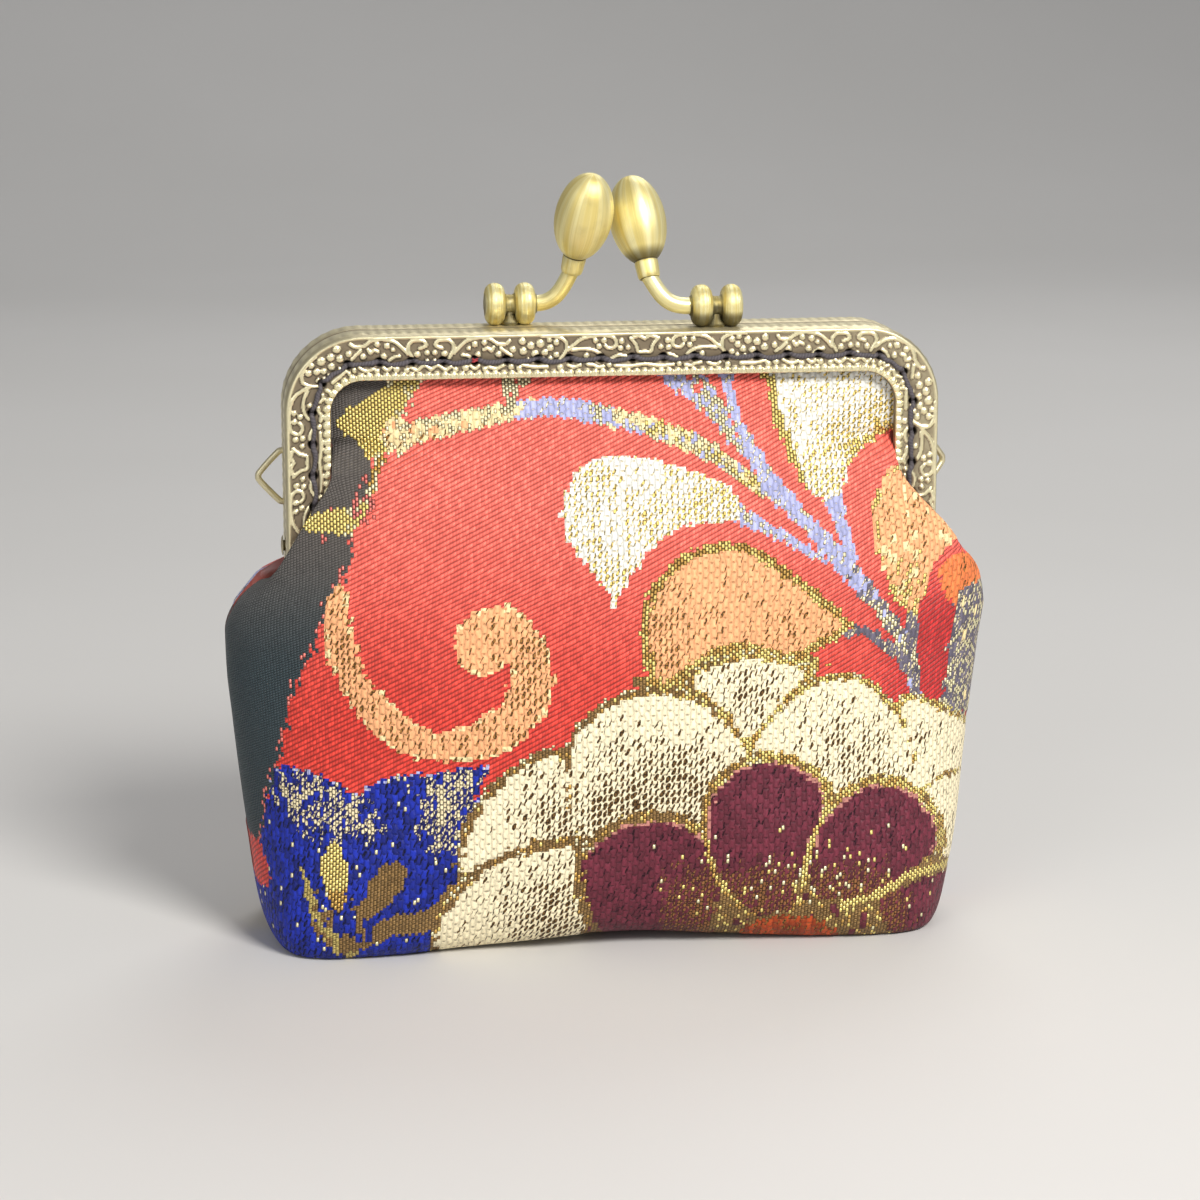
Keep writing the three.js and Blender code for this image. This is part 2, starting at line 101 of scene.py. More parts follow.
def ease(low, high, value):
    """0 up to low, 1 from high on, and smooth between them. low may be above high."""
    share = np.clip((value - low) / (high - low), 0, 1)
    return share * share * (3 - 2 * share)


def chance(first, second, salt):
    """A fixed number from 0 to 1 for each pair of numbers."""
    mixed = np.sin(first * 12.9898 + second * 78.233 + salt * 37.719) * 43758.5453
    return mixed - np.floor(mixed)


def monotone(known, values, wanted):
    """Smooth values through known ones, with no overshoot."""
    known = np.asarray(known, float)
    values = np.asarray(values, float)
    step = np.diff(known)
    slope = np.diff(values) / step
    tangent = np.zeros(len(known))
    for i in range(1, len(known) - 1):
        if slope[i - 1] * slope[i] > 0:
            first = 2 * step[i] + step[i - 1]
            second = step[i] + 2 * step[i - 1]
            tangent[i] = (first + second) / (first / slope[i - 1] + second / slope[i])
    tangent[0] = slope[0]
    tangent[-1] = slope[-1]
    at = np.clip(np.searchsorted(known, wanted, side="right") - 1, 0, len(step) - 1)
    share = (wanted - known[at]) / step[at]
    rest = 1 - share
    return (
        values[at] * (1 + 2 * share) * rest**2
        + tangent[at] * step[at] * share * rest**2
        + values[at + 1] * share**2 * (3 - 2 * share)
        + tangent[at + 1] * step[at] * share**2 * (share - 1)
    )


def smooth_line(points, closed=False, steps=4):
    """A smooth line through a few points. Extra columns, such as a width, are carried along."""
    points = np.array(points, float)
    if closed:
        padded = np.concatenate([points[-1:], points, points[:2]])
    else:
        padded = np.concatenate([2 * points[:1] - points[1:2], points, 2 * points[-1:] - points[-2:-1]])
    share = np.linspace(0, 1, steps, endpoint=False)[:, None]
    pieces = []
    for before, start, end, after in zip(padded, padded[1:], padded[2:], padded[3:]):
        bend = (
            start
            + 0.5 * share * (end - before)
            + share**2 * (before - 2.5 * start + 2 * end - 0.5 * after)
            + 0.5 * share**3 * (3 * start - 3 * end + after - before)
        )
        pieces.append(bend)
    if not closed:
        pieces.append(points[-1:])
    return np.concatenate(pieces)


def segment_distance(x, y, start, end):
    """Distances from points to one segment, and how far along it the nearest place is."""
    dx, dy = end[0] - start[0], end[1] - start[1]
    along = ((x - start[0]) * dx + (y - start[1]) * dy) / max(dx * dx + dy * dy, 1e-12)
    along = np.clip(along, 0, 1)
    return np.hypot(x - start[0] - along * dx, y - start[1] - along * dy), along


MARGIN = 30.0


def shape_distance(x, y, points):
    """Signed distances, negative inside, to a closed outline, or to a stroke if the points have widths."""
    closed = len(points[0]) == 2
    line = smooth_line([(*point, 0.0)[:3] for point in points], closed)
    ends = np.roll(line, -1, axis=0) if closed else line[1:]
    reach = MARGIN + line[:, 2].max()
    low, high = line.min(0) - reach, line.max(0) + reach
    near = (x > low[0]) & (x < high[0]) & (y > low[1]) & (y < high[1])
    px, py = x[near], y[near]
    least = np.full(px.shape, MARGIN)
    within = np.zeros(px.shape, bool)
    for start, end in zip(line, ends):
        distance, along = segment_distance(px, py, start, end)
        least = np.minimum(least, distance - 0.5 * (start[2] + along * (end[2] - start[2])))
        if closed:
            crosses = (start[1] > py) != (end[1] > py)
            rise = (end[1] - start[1]) or 1e-12
            within ^= crosses & (px < start[0] + (py - start[1]) * (end[0] - start[0]) / rise)
    found = np.full(x.shape, MARGIN)
    found[near] = np.where(within, -least, least)
    return found


# Meshes

ATTRIBUTE_FIELDS = {"FLOAT": "value", "FLOAT_VECTOR": "vector", "FLOAT_COLOR": "color"}


def make_mesh(name, vertices, faces, material):
    """A smooth mesh object from points in metres."""
    mesh = bpy.data.meshes.new(name)
    mesh.from_pydata(vertices, [], faces)
    mesh.polygons.foreach_set("use_smooth", np.full(len(mesh.polygons), True))
    mesh.materials.append(material)
    mesh.update()
    return add_object(name, mesh)


def make_object(name, vertices, faces, material):
    """A piece from points in millimetres. It rides on the part's one body."""
    made = make_mesh(name, (np.asarray(vertices, float) * MM).tolist(), faces, material)
    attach(made, "root")
    return made


def set_attribute(made, name, kind, domain, values):
    attribute = made.data.attributes.new(name, kind, domain)
    attribute.data.foreach_set(ATTRIBUTE_FIELDS[kind], np.asarray(values, np.float32).ravel())


class Pieces:
    """Collects surfaces into one mesh, with a relief for each vertex and, if brushed, a brush place."""

    def __init__(self):
        self.vertices = []
        self.faces = []
        self.relief = []
        self.brush = []
        self.count = 0

    def add(self, vertices, faces, relief, brush=None):
        vertices = np.asarray(vertices, float).reshape(-1, 3)
        self.vertices.append(vertices)
        self.faces.extend([[int(k) + self.count for k in face] for face in faces])
        self.relief.append(np.broadcast_to(np.asarray(relief, float), len(vertices)))
        if brush is not None:
            self.brush.append(brush)
        self.count += len(vertices)

    def finish(self, name, material):
        made = make_object(name, np.concatenate(self.vertices), self.faces, material)
        set_attribute(made, "relief", "FLOAT", "POINT", np.concatenate(self.relief))
        if self.brush:
            set_attribute(made, "brush", "FLOAT_VECTOR", "POINT", np.concatenate(self.brush))
        return made


def grid_faces(rows, columns, wrap=False, flip=False):
    """Quads of a grid of points numbered row by row. wrap joins the last column to the first."""
    faces = []
    for i in range(rows - 1):
        above, below = i * columns, (i + 1) * columns
        for j in range(columns if wrap else columns - 1):
            beside = (j + 1) % columns
            face = [above + j, above + beside, below + beside, below + j]
            faces.append(face[::-1] if flip else face)
    return faces


# Materials


class Value:
    """A node's output. Arithmetic on it adds Math nodes."""

    def __init__(self, graph, socket):
        self.graph = graph
        self.socket = socket

    def __add__(self, other):
        return self.graph.math("ADD", self, other)

    def __sub__(self, other):
        return self.graph.math("SUBTRACT", self, other)

    def __rsub__(self, other):
        return self.graph.math("SUBTRACT", other, self)

    def __mul__(self, other):
        return self.graph.math("MULTIPLY", self, other)

    def __truediv__(self, other):
        return self.graph.math("DIVIDE", self, other)


class Graph:
    """A material's nodes. Plain colours are 8-bit screen colours."""

    def __init__(self, name):
        self.material = bpy.data.materials.new(name)
        self.material.use_nodes = True
        self.nodes = self.material.node_tree.nodes
        self.links = self.material.node_tree.links
        self.shader = self.nodes["Principled BSDF"]

    def set(self, socket, value):
        if isinstance(value, Value):
            self.links.new(value.socket, socket)
        elif socket.type == "RGBA":
            socket.default_value = (*linear(value), 1.0)
        else:
            socket.default_value = value

    def add(self, kind, inputs, output=0, **settings):
        """A new node's output. inputs are values by socket name or number."""
        node = self.nodes.new("ShaderNode" + kind)
        for name, value in settings.items():
            setattr(node, name, value)
        for key, value in inputs.items():
            self.set(node.inputs[key], value)
        return Value(self, node.outputs[output])

    def math(self, operation, first, second=0.0):
        return self.add("Math", {0: first, 1: second}, operation=operation)

    def band(self, value, low, high, to_low=0.0, to_high=1.0):
        """A smooth change from one value to another."""
        numbers = dict(enumerate((value, low, high, to_low, to_high)))
        return self.add("MapRange", numbers, interpolation_type="SMOOTHSTEP")

    def mix(self, share, first, second):
        return self.add("Mix", {0: share, 6: first, 7: second}, 2, data_type="RGBA")

    def attribute(self, name, output="Fac"):
        return self.add("Attribute", {}, output, attribute_name=name)

    def split(self, vector):
        parts = self.add("SeparateXYZ", {0: vector})
        return [Value(self, socket) for socket in parts.socket.node.outputs]

    def place(self):
        return self.add("TexCoord", {}, "Object")

    def stretch(self, vector, scale):
        return self.add("Mapping", {"Vector": vector, "Scale": scale})

    def noise(self, vector, scale, detail=2.0):
        return self.add("TexNoise", {"Vector": vector, "Scale": scale, "Detail": detail}, "Fac")

    def scale(self, colour, share):
        return self.add("VectorMath", {0: colour, "Scale": share}, operation="SCALE")

    def dice(self, first, second):
        """Three fixed random numbers for each pair of whole numbers."""
        pair = self.add("CombineXYZ", {0: first, 1: second})
        return self.split(self.add("TexWhiteNoise", {"Vector": pair}, "Color"))

    def bump(self, height, distance, strength):
        normal = self.add("Bump", {"Height": height, "Distance": distance, "Strength": strength})
        self.set(self.shader.inputs["Normal"], normal)

    def surface(self, **values):
        for name, value in values.items():
            self.set(self.shader.inputs[name.replace("_", " ")], value)
        return self.material


# The weave: one column of cells is one warp thread, two rows are one weft, and a float is a short wide dash
COLUMN = 0.42
ROW = 0.325
WEFT = 0.65
TWILL = 0.64
FLOAT_COLUMNS = 1.75
FLOAT_LENGTH = 1.28
STRAND_WOBBLE = 0.9
TIE_HALF_WIDTH = 0.38
TIE_HALF_HEIGHT = 0.13
SLIT_LENGTH = 0.98
SLIT_SLANT = 0.48


def brocade_material():
    graph = Graph("brocade")
    across, along, _ = graph.split(graph.attribute("weave", "Vector"))
    floats, beads, twill = graph.split(graph.attribute("kind", "Vector"))
    wear = graph.attribute("thread", "Alpha")
    variety = graph.attribute("under", "Alpha")

    def repeat(value):
        """Which repeat a value is in, and where in it, from -1 to 1."""
        index = graph.math("FLOOR", value)
        return index, (value - index) * 2.0 - 1.0

    def square(value):
        return value * value

    def hump(value):
        return 1.0 - square(value)

    column, middle = repeat(across)
    arch = hump(middle)
    # Metal thread in staggered beads
    _, bead_middle = repeat(along / WEFT + column * 0.5)
    bead_height = arch * hump(bead_middle)
    bead_shade = graph.band(bead_height, 0.08, 0.62) * 1.12 + 0.13
    # Floats lie side by side in strands, and each is tied at its ends
    wobble = graph.noise(graph.stretch(graph.attribute("weave", "Vector"), (0.6, 1.1, 1.0)), 1.0)
    strand_place = across / FLOAT_COLUMNS + (wobble - 0.5) * STRAND_WOBBLE
    strand, lean = repeat(strand_place)
    stitch, reach = repeat(along / FLOAT_LENGTH + strand * 0.5)
    _, loss, tone = graph.dice(strand, stitch)
    end = (1.0 - graph.math("ABSOLUTE", reach)) * (FLOAT_LENGTH / 2 / TIE_HALF_HEIGHT)
    tied = graph.band(square(lean / TIE_HALF_WIDTH) + square(end), 1.6, 0.4)
    # Wear opens slits between the strands, and some floats are lost
    border = graph.math("FLOOR", strand_place + 0.5)
    off = (strand_place - border) * 2.0
    phase = graph.dice(border, 0.5)[0]
    slit_place, slit_reach = repeat(along / SLIT_LENGTH + phase)
    luck, size, _ = graph.dice(border + 0.25, slit_place)
    opened = graph.band(wear - luck, -0.06, 0.3)
    half_width = opened * (size * 0.42 + 0.17) * graph.band(wear, 0.7, 1.5, 1.0, 1.6)
    slit_off = (slit_reach * SLIT_SLANT + off) / graph.math("MAXIMUM", half_width, 0.01)
    slit = graph.band(square(slit_off) + square(slit_reach), 1.25, 0.75)
    lost = graph.math("LESS_THAN", loss, wear * 0.4 - 0.52)
    bare = floats * graph.math("MAXIMUM", slit, lost)
    round_top = hump(lean * 0.9) * hump(square(reach * 0.92))
    float_height = (round_top * 0.6 + 0.4) * (1.0 - tied * 0.6) * (1.0 - slit * 0.8)
    float_shade = ((tone * 2.0 - 1.0) * variety + 1.0) * (round_top * 0.26 + 0.8)
    # Ground twill rising to the right, in rows of small knots
    ridge, twill_middle = repeat(along / TWILL + across * (1 / 3))
    twill_height = hump(twill_middle) * (arch * 0.45 + 0.55)
    glint = graph.band(graph.dice(column, ridge)[0], 0.4, 1.0, 0.9, 1.34)
    twill_shade = (twill_height * 0.95 + 0.45) * glint
    # Plain ground and ribbed underlayer
    _, weft_middle = repeat(along / (WEFT / 2) + across * 0.5)
    plain_height = hump(weft_middle) * (arch * 0.7 + 0.3)
    plain_shade = plain_height * 0.36 + 0.78
    rest = 1.0 - (floats + beads + twill)

    def blend(float_value, bead_value, twill_value, plain_value):
        return floats * float_value + beads * bead_value + twill * twill_value + rest * plain_value

    fibre = graph.noise(graph.stretch(graph.place(), (5200.0, 5200.0, 1500.0)), 1.0)
    fuzz = graph.band(fibre, 0.25, 0.75, 0.93, 1.06)
    shade = blend(float_shade, bead_shade, twill_shade, plain_shade) * fuzz
    cover = graph.scale(graph.attribute("thread", "Color"), shade)
    cover = graph.mix(tied * floats * 0.46, cover, graph.attribute("under", "Color"))
    below = graph.scale(graph.attribute("under", "Color"), bead_shade)
    graph.bump(blend(float_height, bead_height * 0.8, twill_height * 0.5, plain_height), 0.0003, 0.85)
    return graph.surface(
        Base_Color=graph.mix(bare, cover, below),
        Roughness=blend(0.55, 0.34, 0.44, 0.5),
        Metallic=bare * 0.3 + beads * 0.5,
        Specular_IOR_Level=0.36,
        Sheen_Weight=0.02,
        Sheen_Roughness=0.5,
    )


def brass_material():
    """Antique brass: bright where it is worn and where painted light lies on the rail, brown in the
    recesses.
    """
    graph = Graph("antique_brass")
    cloud = graph.noise(graph.place(), 420.0, 4.0)
    fine = graph.noise(graph.place(), 3600.0, 3.0)
    height = (cloud - 0.5) * 0.22 + graph.attribute("relief")
    dark = graph.mix(graph.band(height, -0.1, 0.4), (46, 39, 31), (134, 120, 98))
    bright = graph.mix(fine, (238, 226, 180), (255, 246, 208))
    rubbed_and_lit = graph.band(height, 0.35, 0.9)
    graph.bump(fine, 0.00003, 0.5)
    return graph.surface(
        Base_Color=graph.mix(rubbed_and_lit, dark, bright),
        Roughness=fine * 0.16 + 0.44 - rubbed_and_lit * 0.16,
        Metallic=rubbed_and_lit * 0.3 + 0.6,
    )


def gilt_material():
    """Brushed brass for the clasp, with broad and fine streaks along its length."""
    graph = Graph("knob_brass")
    around = graph.attribute("brush", "Vector")
    streak = graph.noise(graph.stretch(around, (2.2, 2.2, 0.03)), 1.0)
    fine = graph.noise(graph.stretch(around, (26.0, 26.0, 0.12)), 1.0, 3.0)
    tarnish = graph.noise(graph.place(), 240.0, 3.0)
    colour = graph.mix(graph.band(streak, 0.35, 0.65), (234, 214, 134), (255, 246, 190))
    colour = graph.mix(graph.band(fine, 0.45, 0.7) * 0.24, colour, (188, 170, 106))
    colour = graph.mix(graph.band(tarnish, 0.5, 0.75) * 0.34, colour, (140, 124, 88))
    colour = graph.mix(graph.band(graph.attribute("relief"), 0.05, 0.5, 0.85, 0.0), colour, (52, 44, 32))
    graph.bump(fine * 0.25 + streak, 0.0003, 0.5)
    return graph.surface(Base_Color=colour, Roughness=fine * 0.22 + 0.34, Metallic=0.7)


def thread_material():
    graph = Graph("sewing_thread")
    around, _, along = graph.split(graph.attribute("brush", "Vector"))
    ply = graph.math("SINE", along * 16.0 + around * 12.566)
    shade = graph.band(ply, -1.0, 1.0) * 0.4 + graph.noise(graph.place(), 2600.0, 3.0) * 0.6
    graph.bump(shade, 0.00006, 0.6)
    return graph.surface(Base_Color=graph.mix(shade, (56, 52, 56), (104, 98, 102)), Roughness=0.8)


def lint_material():
    graph = Graph("red_lint")
    fuzz = graph.noise(graph.place(), 4000.0)
    return graph.surface(Base_Color=graph.mix(fuzz, (150, 40, 46), (206, 84, 88)), Roughness=0.9)


# Cloth sections, repeated from the part's source so that the cloth lies where its solids are

FRAME_HALF = 42.5
FRAME_TOP = 79.2
FRAME_CORNER = 10.0
ARM_END = 49.0
SPLIT = 0.15
CLOTH_WALL = 1.2
FIELDS = ("z", "width", "reach", "depth", "edge", "seam", "flat", "blunt", "inset", "lift", "waist")


def corner_width(z, radius):
    rise = max(0.0, z - (FRAME_TOP - FRAME_CORNER))
    return FRAME_HALF - FRAME_CORNER + math.sqrt(max(0.0, radius**2 - rise**2))


def framed(z, depth, blunt):
    return (z, corner_width(z, 7.7), corner_width(z, 3.8), depth, 4.1, 0.0, 2.0, blunt, 0.0, 0.0, 0.0)


def lapped(z, width, depth, edge, blunt, inset):
    return (z, width, width, depth, edge, 0.0, 2.2, blunt, inset, 0.0, 0.0)


def seamed(z, width, depth, seam, flat, blunt, inset, lift, waist=0.0, edge=SPLIT):
    return (z, width, width, depth, edge, seam, flat, blunt, inset, lift, waist)


SECTIONS = [
    framed(76.9, 4.1, 1.0),
    framed(76.1, 4.1, 1.0),
    framed(74.8, 4.1, 1.0),
    framed(73.2, 4.1, 1.0),
    framed(71.2, 5.6, 1.0),
    framed(68.6, 7.0, 0.95),
    framed(66.2, 8.1, 1.0),
    lapped(65.0, 35.8, 8.6, 3.6, 0.95, 0.0),
    lapped(63.2, 36.0, 9.3, 5.4, 0.86, 0.2),
    lapped(61.4, 36.2, 10.0, 7.0, 0.86, 0.3),
    lapped(57.6, 38.9, 11.2, 7.3, 0.76, 0.4),
    lapped(53.4, 41.5, 12.5, 7.3, 0.68, 0.5),
    lapped(48.7, 44.6, 13.7, 7.1, 0.6, 0.6),
    seamed(48.2, 45.1, 13.83, -0.6, 2.0, 0.335, 0.8, -1.0, edge=3.4),
    seamed(47.6, 45.8, 14.0, -1.4, 2.0, 0.27, 1.2, -1.0),
    seamed(44.4, 48.5, 14.9, -2.2, 2.0, 0.34, 1.4, -0.6),
    seamed(40.6, 49.8, 15.7, -1.9, 2.0, 0.4, 1.4, -0.2),
    seamed(36.0, 49.7, 16.4, -1.2, 2.1, 0.45, 1.3, 0.0),
    seamed(29.0, 49.1, 17.2, -0.4, 2.4, 0.47, 1.3, 0.0),
    seamed(21.0, 48.3, 17.7, 0.0, 2.9, 0.46, 1.3, 0.0, 0.01),
    seamed(13.0, 47.3, 17.9, 0.0, 4.2, 0.42, 1.3, 0.0, 0.03),
    seamed(6.0, 46.0, 17.8, 0.0, 6.5, 0.37, 1.2, 0.2, 0.07),
    seamed(1.8, 44.6, 17.2, 0.0, 10.0, 0.32, 1.0, 0.7, 0.13),
    seamed(0.0, 43.2, 15.8, 0.0, 14.0, 0.28, 0.8, 1.2, 0.22),
    seamed(0.0, 42.2, 8.0, 0.0, 16.0, 0.28, 0.6, 1.2, 0.2),
    seamed(0.0, 41.9, 0.15, 0.0, 16.0, 0.28, 0.4, 1.2),
]


def section_values(distances):
    """Each section field at distances down the middle of the panel."""
    table = np.array(SECTIONS, float)
    steps = np.hypot(np.diff(table[:, 0]), np.diff(table[:, 3]))
    known = np.concatenate([[0.0], np.cumsum(steps)])
    return {name: monotone(known, table[:, k], distances) for k, name in enumerate(FIELDS)}, known[-1]


def section_curves(distances, side, lining, samples):
    """Points of horizontal sections, from the left edge to the right edge."""
    values, _ = section_values(distances)
    row = {name: value[:, None] for name, value in values.items()}
    wall = CLOTH_WALL if lining else 0.0
    inset = row["inset"] if lining else 0.0
    edge = np.maximum(row["edge"] - wall, SPLIT)
    depth = np.maximum(row["depth"] - wall, edge)
    x = -(row["width"] - inset) * np.cos(np.pi * np.linspace(0, 1, samples))[None]
    across = np.minimum(1.0, np.abs(x) / (row["reach"] - inset))
    bulge = (1 - across ** row["flat"]) ** row["blunt"] * (1 - row["waist"] * (1 - across**2))
    edge_y = side * edge + row["seam"]
    y = edge_y + (side * depth - edge_y) * bulge
    z = np.broadcast_to(row["z"] + (row["lift"] if lining else 0.0), x.shape)
    return np.stack([x, y, z], axis=2)


def settle(points):
    """The real cloth's lean, uneven shoulders, soft hollows and lifted base."""
    x, y, z = points[..., 0], points[..., 1], points[..., 2]
    below = ease(50.0, 42.0, z)
    lean = -0.75 * below - 0.5 * ease(14.0, 2.0, z)
    shoulder = ease(24.0, 46.0, x) * ease(36.0, 46.0, z) * ease(60.0, 50.0, z)
    tucked = ease(-30.0, -42.0, x) * ease(47.4, 49.4, z) * ease(62.0, 51.0, z) * ease(0.0, 3.0, y)
    held = ease(33.0, 35.6, np.abs(x)) * ease(58.0, 61.5, z) * ease(66.4, 65.0, z)
    front = ease(9.0, 13.0, np.abs(y))
    hollow = 0.35 * np.sin(x * 0.16 + 0.9) * np.sin(z * 0.12 + x * 0.05) * front
    hollow = hollow + 0.2 * np.sin(x * 0.31 - z * 0.2 + 1.3) * front
    drawn_up = 1.3 * np.exp(-(((x - 1.0) / 15.0) ** 2)) * ease(10.0, 0.0, z)
    moved = points.copy()
    moved[..., 0] = x + lean + 0.9 * shoulder + 3.2 * tucked + 0.6 * np.sign(x) * held
    moved[..., 1] = y - np.sign(y) * np.maximum(0.0, hollow + 0.25)
    moved[..., 2] = z + np.where(z > 1.0, 1.7 * shoulder, 0.0) + drawn_up
    return moved


# The brocade drawing, in the units of sketch(): X to the right and Y down

# What shows between worn floats
UMBER = (102, 74, 38)
OLIVE = (222, 194, 108)
BISTRE = (148, 104, 50)
SAND = (236, 220, 180)
NIGHT = (14, 20, 78)
WINE = (70, 24, 40)
BRONZE = (140, 94, 56)

# Each thread's colour, how it lies, how much its floats vary, how worn they are and what shows between them
THREADS = {
    "red": ((208, 60, 49), "twill", 0.06, 0.0, UMBER),
    "navy": ((60, 74, 79), "plain", 0.05, 0.0, UMBER),
    "white": ((243, 241, 231), "float", 0.04, 0.4, OLIVE),
    "cream": ((255, 242, 204), "float", 0.05, 0.05, UMBER),
    "peach": ((254, 182, 128), "float", 0.1, 0.16, BISTRE),
    "straw": ((253, 230, 172), "float", 0.12, 0.32, BISTRE),
    "lavender": ((176, 180, 224), "float", 0.16, 0.4, SAND),
    "slate": ((104, 98, 114), "float", 0.3, 0.7, SAND),
    "cobalt": ((16, 38, 152), "float", 0.45, 0.6, NIGHT),
    "worn_cobalt": ((20, 24, 96), "float", 0.4, 0.4, SAND),
    "plum": ((106, 38, 54), "float", 0.26, 0.4, WINE),
    "worn_plum": ((100, 38, 50), "float", 0.4, 0.3, BRONZE),
    "rose": ((196, 132, 120), "float", 0.1, 0.2, WINE),
    "orange": ((244, 132, 74), "float", 0.14, 0.3, BISTRE),
    "rust": ((168, 66, 24), "float", 0.5, 0.6, BISTRE),
    "gold": ((252, 222, 132), "bead", 0.14, 0.0, UMBER),
    "pale_gold": ((252, 238, 190), "bead", 0.12, 0.0, UMBER),
    "brown_gold": ((200, 158, 84), "bead", 0.24, 0.0, UMBER),
    "pink": ((232, 130, 120), "bead", 0.12, 0.0, UMBER),
    "ribbed_gold": ((200, 178, 104), "ribbed", 0.12, 0.0, UMBER),
    "ribbed_brown": ((146, 114, 68), "ribbed", 0.2, 0.0, UMBER),
}
# Each kind of thread: its shares of float, bead and twill, and how far it stands out
KINDS = {
    "plain": ((0, 0, 0), 0.03),
    "float": ((1, 0, 0), 0.16),
    "bead": ((0, 1, 0), 0.08),
    "twill": ((0, 0, 1), 0.0),
    "ribbed": ((0, 0.55, 0), 0.02),
}

NAVY_TOP = [(325, 425), (322, 365), (396, 365), (380, 391), (357, 405), (337, 416)]
NAVY_MIDDLE = [
    (300, 540), (300, 440), (338, 434), (365, 447), (371, 468), (358, 494), (345, 512), (320, 520),
]
NAVY_SIDE = [
    (290, 500), (322, 535), (345, 535), (348, 562), (325, 612), (312, 650), (290, 700), (280, 754),
    (267, 802), (256, 842), (150, 846), (60, 700), (60, 480), (200, 440),
]
GOLD_LEAF = [
    (391, 380), (405, 371), (423, 373), (405, 404), (402, 420), (405, 437), (374, 460), (356, 441),
    (334, 424), (355, 405), (380, 389),
]
GOLD_EDGE = [(380, 458, 12), (375, 472, 9), (373, 486, 9), (366, 497, 10), (360, 508, 12)]
GOLD_PATCH = [
    (298, 530), (310, 514), (345, 507), (357, 498), (372, 508), (357, 529), (347, 537), (332, 534),
    (312, 531),
]
TWIG = [(502, 370), (536, 370), (526, 386), (517, 398), (513, 412), (500, 411), (504, 394)]
UPPER_STEM = [
    (398, 436, 34), (415, 433, 26), (465, 420, 22), (525, 410, 18), (562, 408, 19), (640, 424, 20),
    (706, 450, 20), (754, 484, 14), (786, 511, 4),
]
MAIN_STEM = [
    (724, 366, 13), (736, 418, 10), (755, 457, 16), (779, 493, 19), (811, 527, 16), (844, 564, 20),
    (884, 613, 16), (908, 650, 15), (916, 698, 11),
]
SIDE_STEM = [(678, 368, 42), (709, 402, 24), (735, 443, 9), (742, 455, 4)]
DROP_STEM = [(736, 513, 17), (782, 536, 11), (826, 560, 7)]
BRANCH = [(831, 494, 18), (845, 536, 11), (853, 558, 8)]
PEACH_STEM = [(846, 634, 8), (862, 631, 11), (896, 652, 12), (908, 668, 12)]
POINT_STEM = [(912, 614, 15), (912, 648, 9)]
WHITE_DROP = [
    (562, 506), (577, 472), (605, 457), (652, 459), (711, 478), (739, 497), (735, 521), (690, 525),
    (662, 540), (631, 576), (614, 608), (606, 588), (582, 562), (566, 535),
]
WHITE_TOP = [
    (766, 360), (769, 390), (781, 440), (804, 484), (817, 498), (842, 491), (855, 457), (884, 434),
    (918, 420), (922, 380), (912, 360),
]
PEACH_DROP = [
    (640, 628), (649, 592), (670, 565), (706, 545), (748, 544), (788, 568), (828, 600), (852, 621),
    (846, 634), (806, 657), (790, 662), (740, 651), (700, 668), (668, 690), (654, 685), (646, 664),
]
PEACH_SIDE = [
    (905, 458), (880, 482), (872, 520), (881, 564), (896, 599), (916, 615), (926, 586), (942, 553),
    (970, 520), (960, 480), (930, 450),
]
ORANGE_SIDE = [(940, 566), (962, 552), (985, 560), (988, 590), (965, 596), (955, 606), (942, 585)]
SLATE_SIDE = [(966, 586), (951, 627), (942, 706), (960, 712), (1010, 700), (1010, 590)]
CREAM_PETALS = {
    "middle": [
        (568, 792), (569, 759), (585, 728), (620, 702), (660, 695), (700, 705), (728, 728), (746, 756),
        (722, 778), (702, 826), (640, 834), (592, 840), (572, 814),
    ],
    "upper": [
        (695, 682), (718, 665), (752, 659), (793, 667), (805, 675), (782, 700), (750, 738), (730, 715),
    ],
    "right": [
        (760, 750), (759, 738), (785, 707), (818, 685), (856, 682), (883, 701), (905, 732), (916, 768),
        (918, 790), (842, 806), (790, 780),
    ],
    "far": [
        (903, 706), (920, 702), (951, 715), (990, 745), (975, 765), (943, 771), (922, 785), (912, 745),
    ],
    "low_right": [(925, 790), (962, 770), (1000, 762), (1010, 860), (960, 872), (945, 864), (938, 820)],
    "left": [
        (560, 757), (527, 768), (495, 793), (472, 831), (464, 871), (496, 856), (536, 841), (580, 833),
        (567, 805),
    ],
    "low_left": [
        (578, 849), (535, 853), (493, 867), (456, 900), (438, 938), (450, 965), (500, 985), (600, 950),
        (580, 914), (575, 878),
    ],
}
PLUM_PETALS = {
    "left": [
        (583, 878), (595, 847), (625, 826), (665, 821), (697, 834), (712, 861), (716, 896), (700, 960),
        (640, 965), (606, 940),
    ],
    "middle": [
        (708, 828), (717, 791), (745, 767), (780, 762), (812, 777), (826, 803), (815, 831), (806, 862),
        (790, 910), (760, 915), (723, 880),
    ],
    "right": [
        (811, 862), (818, 830), (843, 801), (873, 785), (905, 790), (928, 812), (936, 842), (914, 866),
        (878, 890), (836, 900), (815, 890),
    ],
    "low_right": [(880, 901), (916, 882), (985, 866), (980, 940), (940, 980), (890, 930)],
}
PLUM_LINES = [
    [(704, 826, 4), (710, 860, 5), (720, 884, 6), (742, 908, 4)],
    [(828, 804, 5), (813, 840, 6), (807, 862, 7), (802, 892, 5)],
]
FLOWER_GROUND = [
    (600, 905), (700, 870), (720, 840), (800, 830), (870, 860), (945, 855), (960, 900), (930, 990),
    (700, 1000), (590, 960),
]
ORANGE_CENTRE = [(738, 936), (752, 922), (790, 915), (826, 923), (842, 940), (832, 970), (750, 970)]
FLOWER_RIB = [(950, 862, 7), (902, 879, 8), (882, 892, 8), (840, 906, 8)]
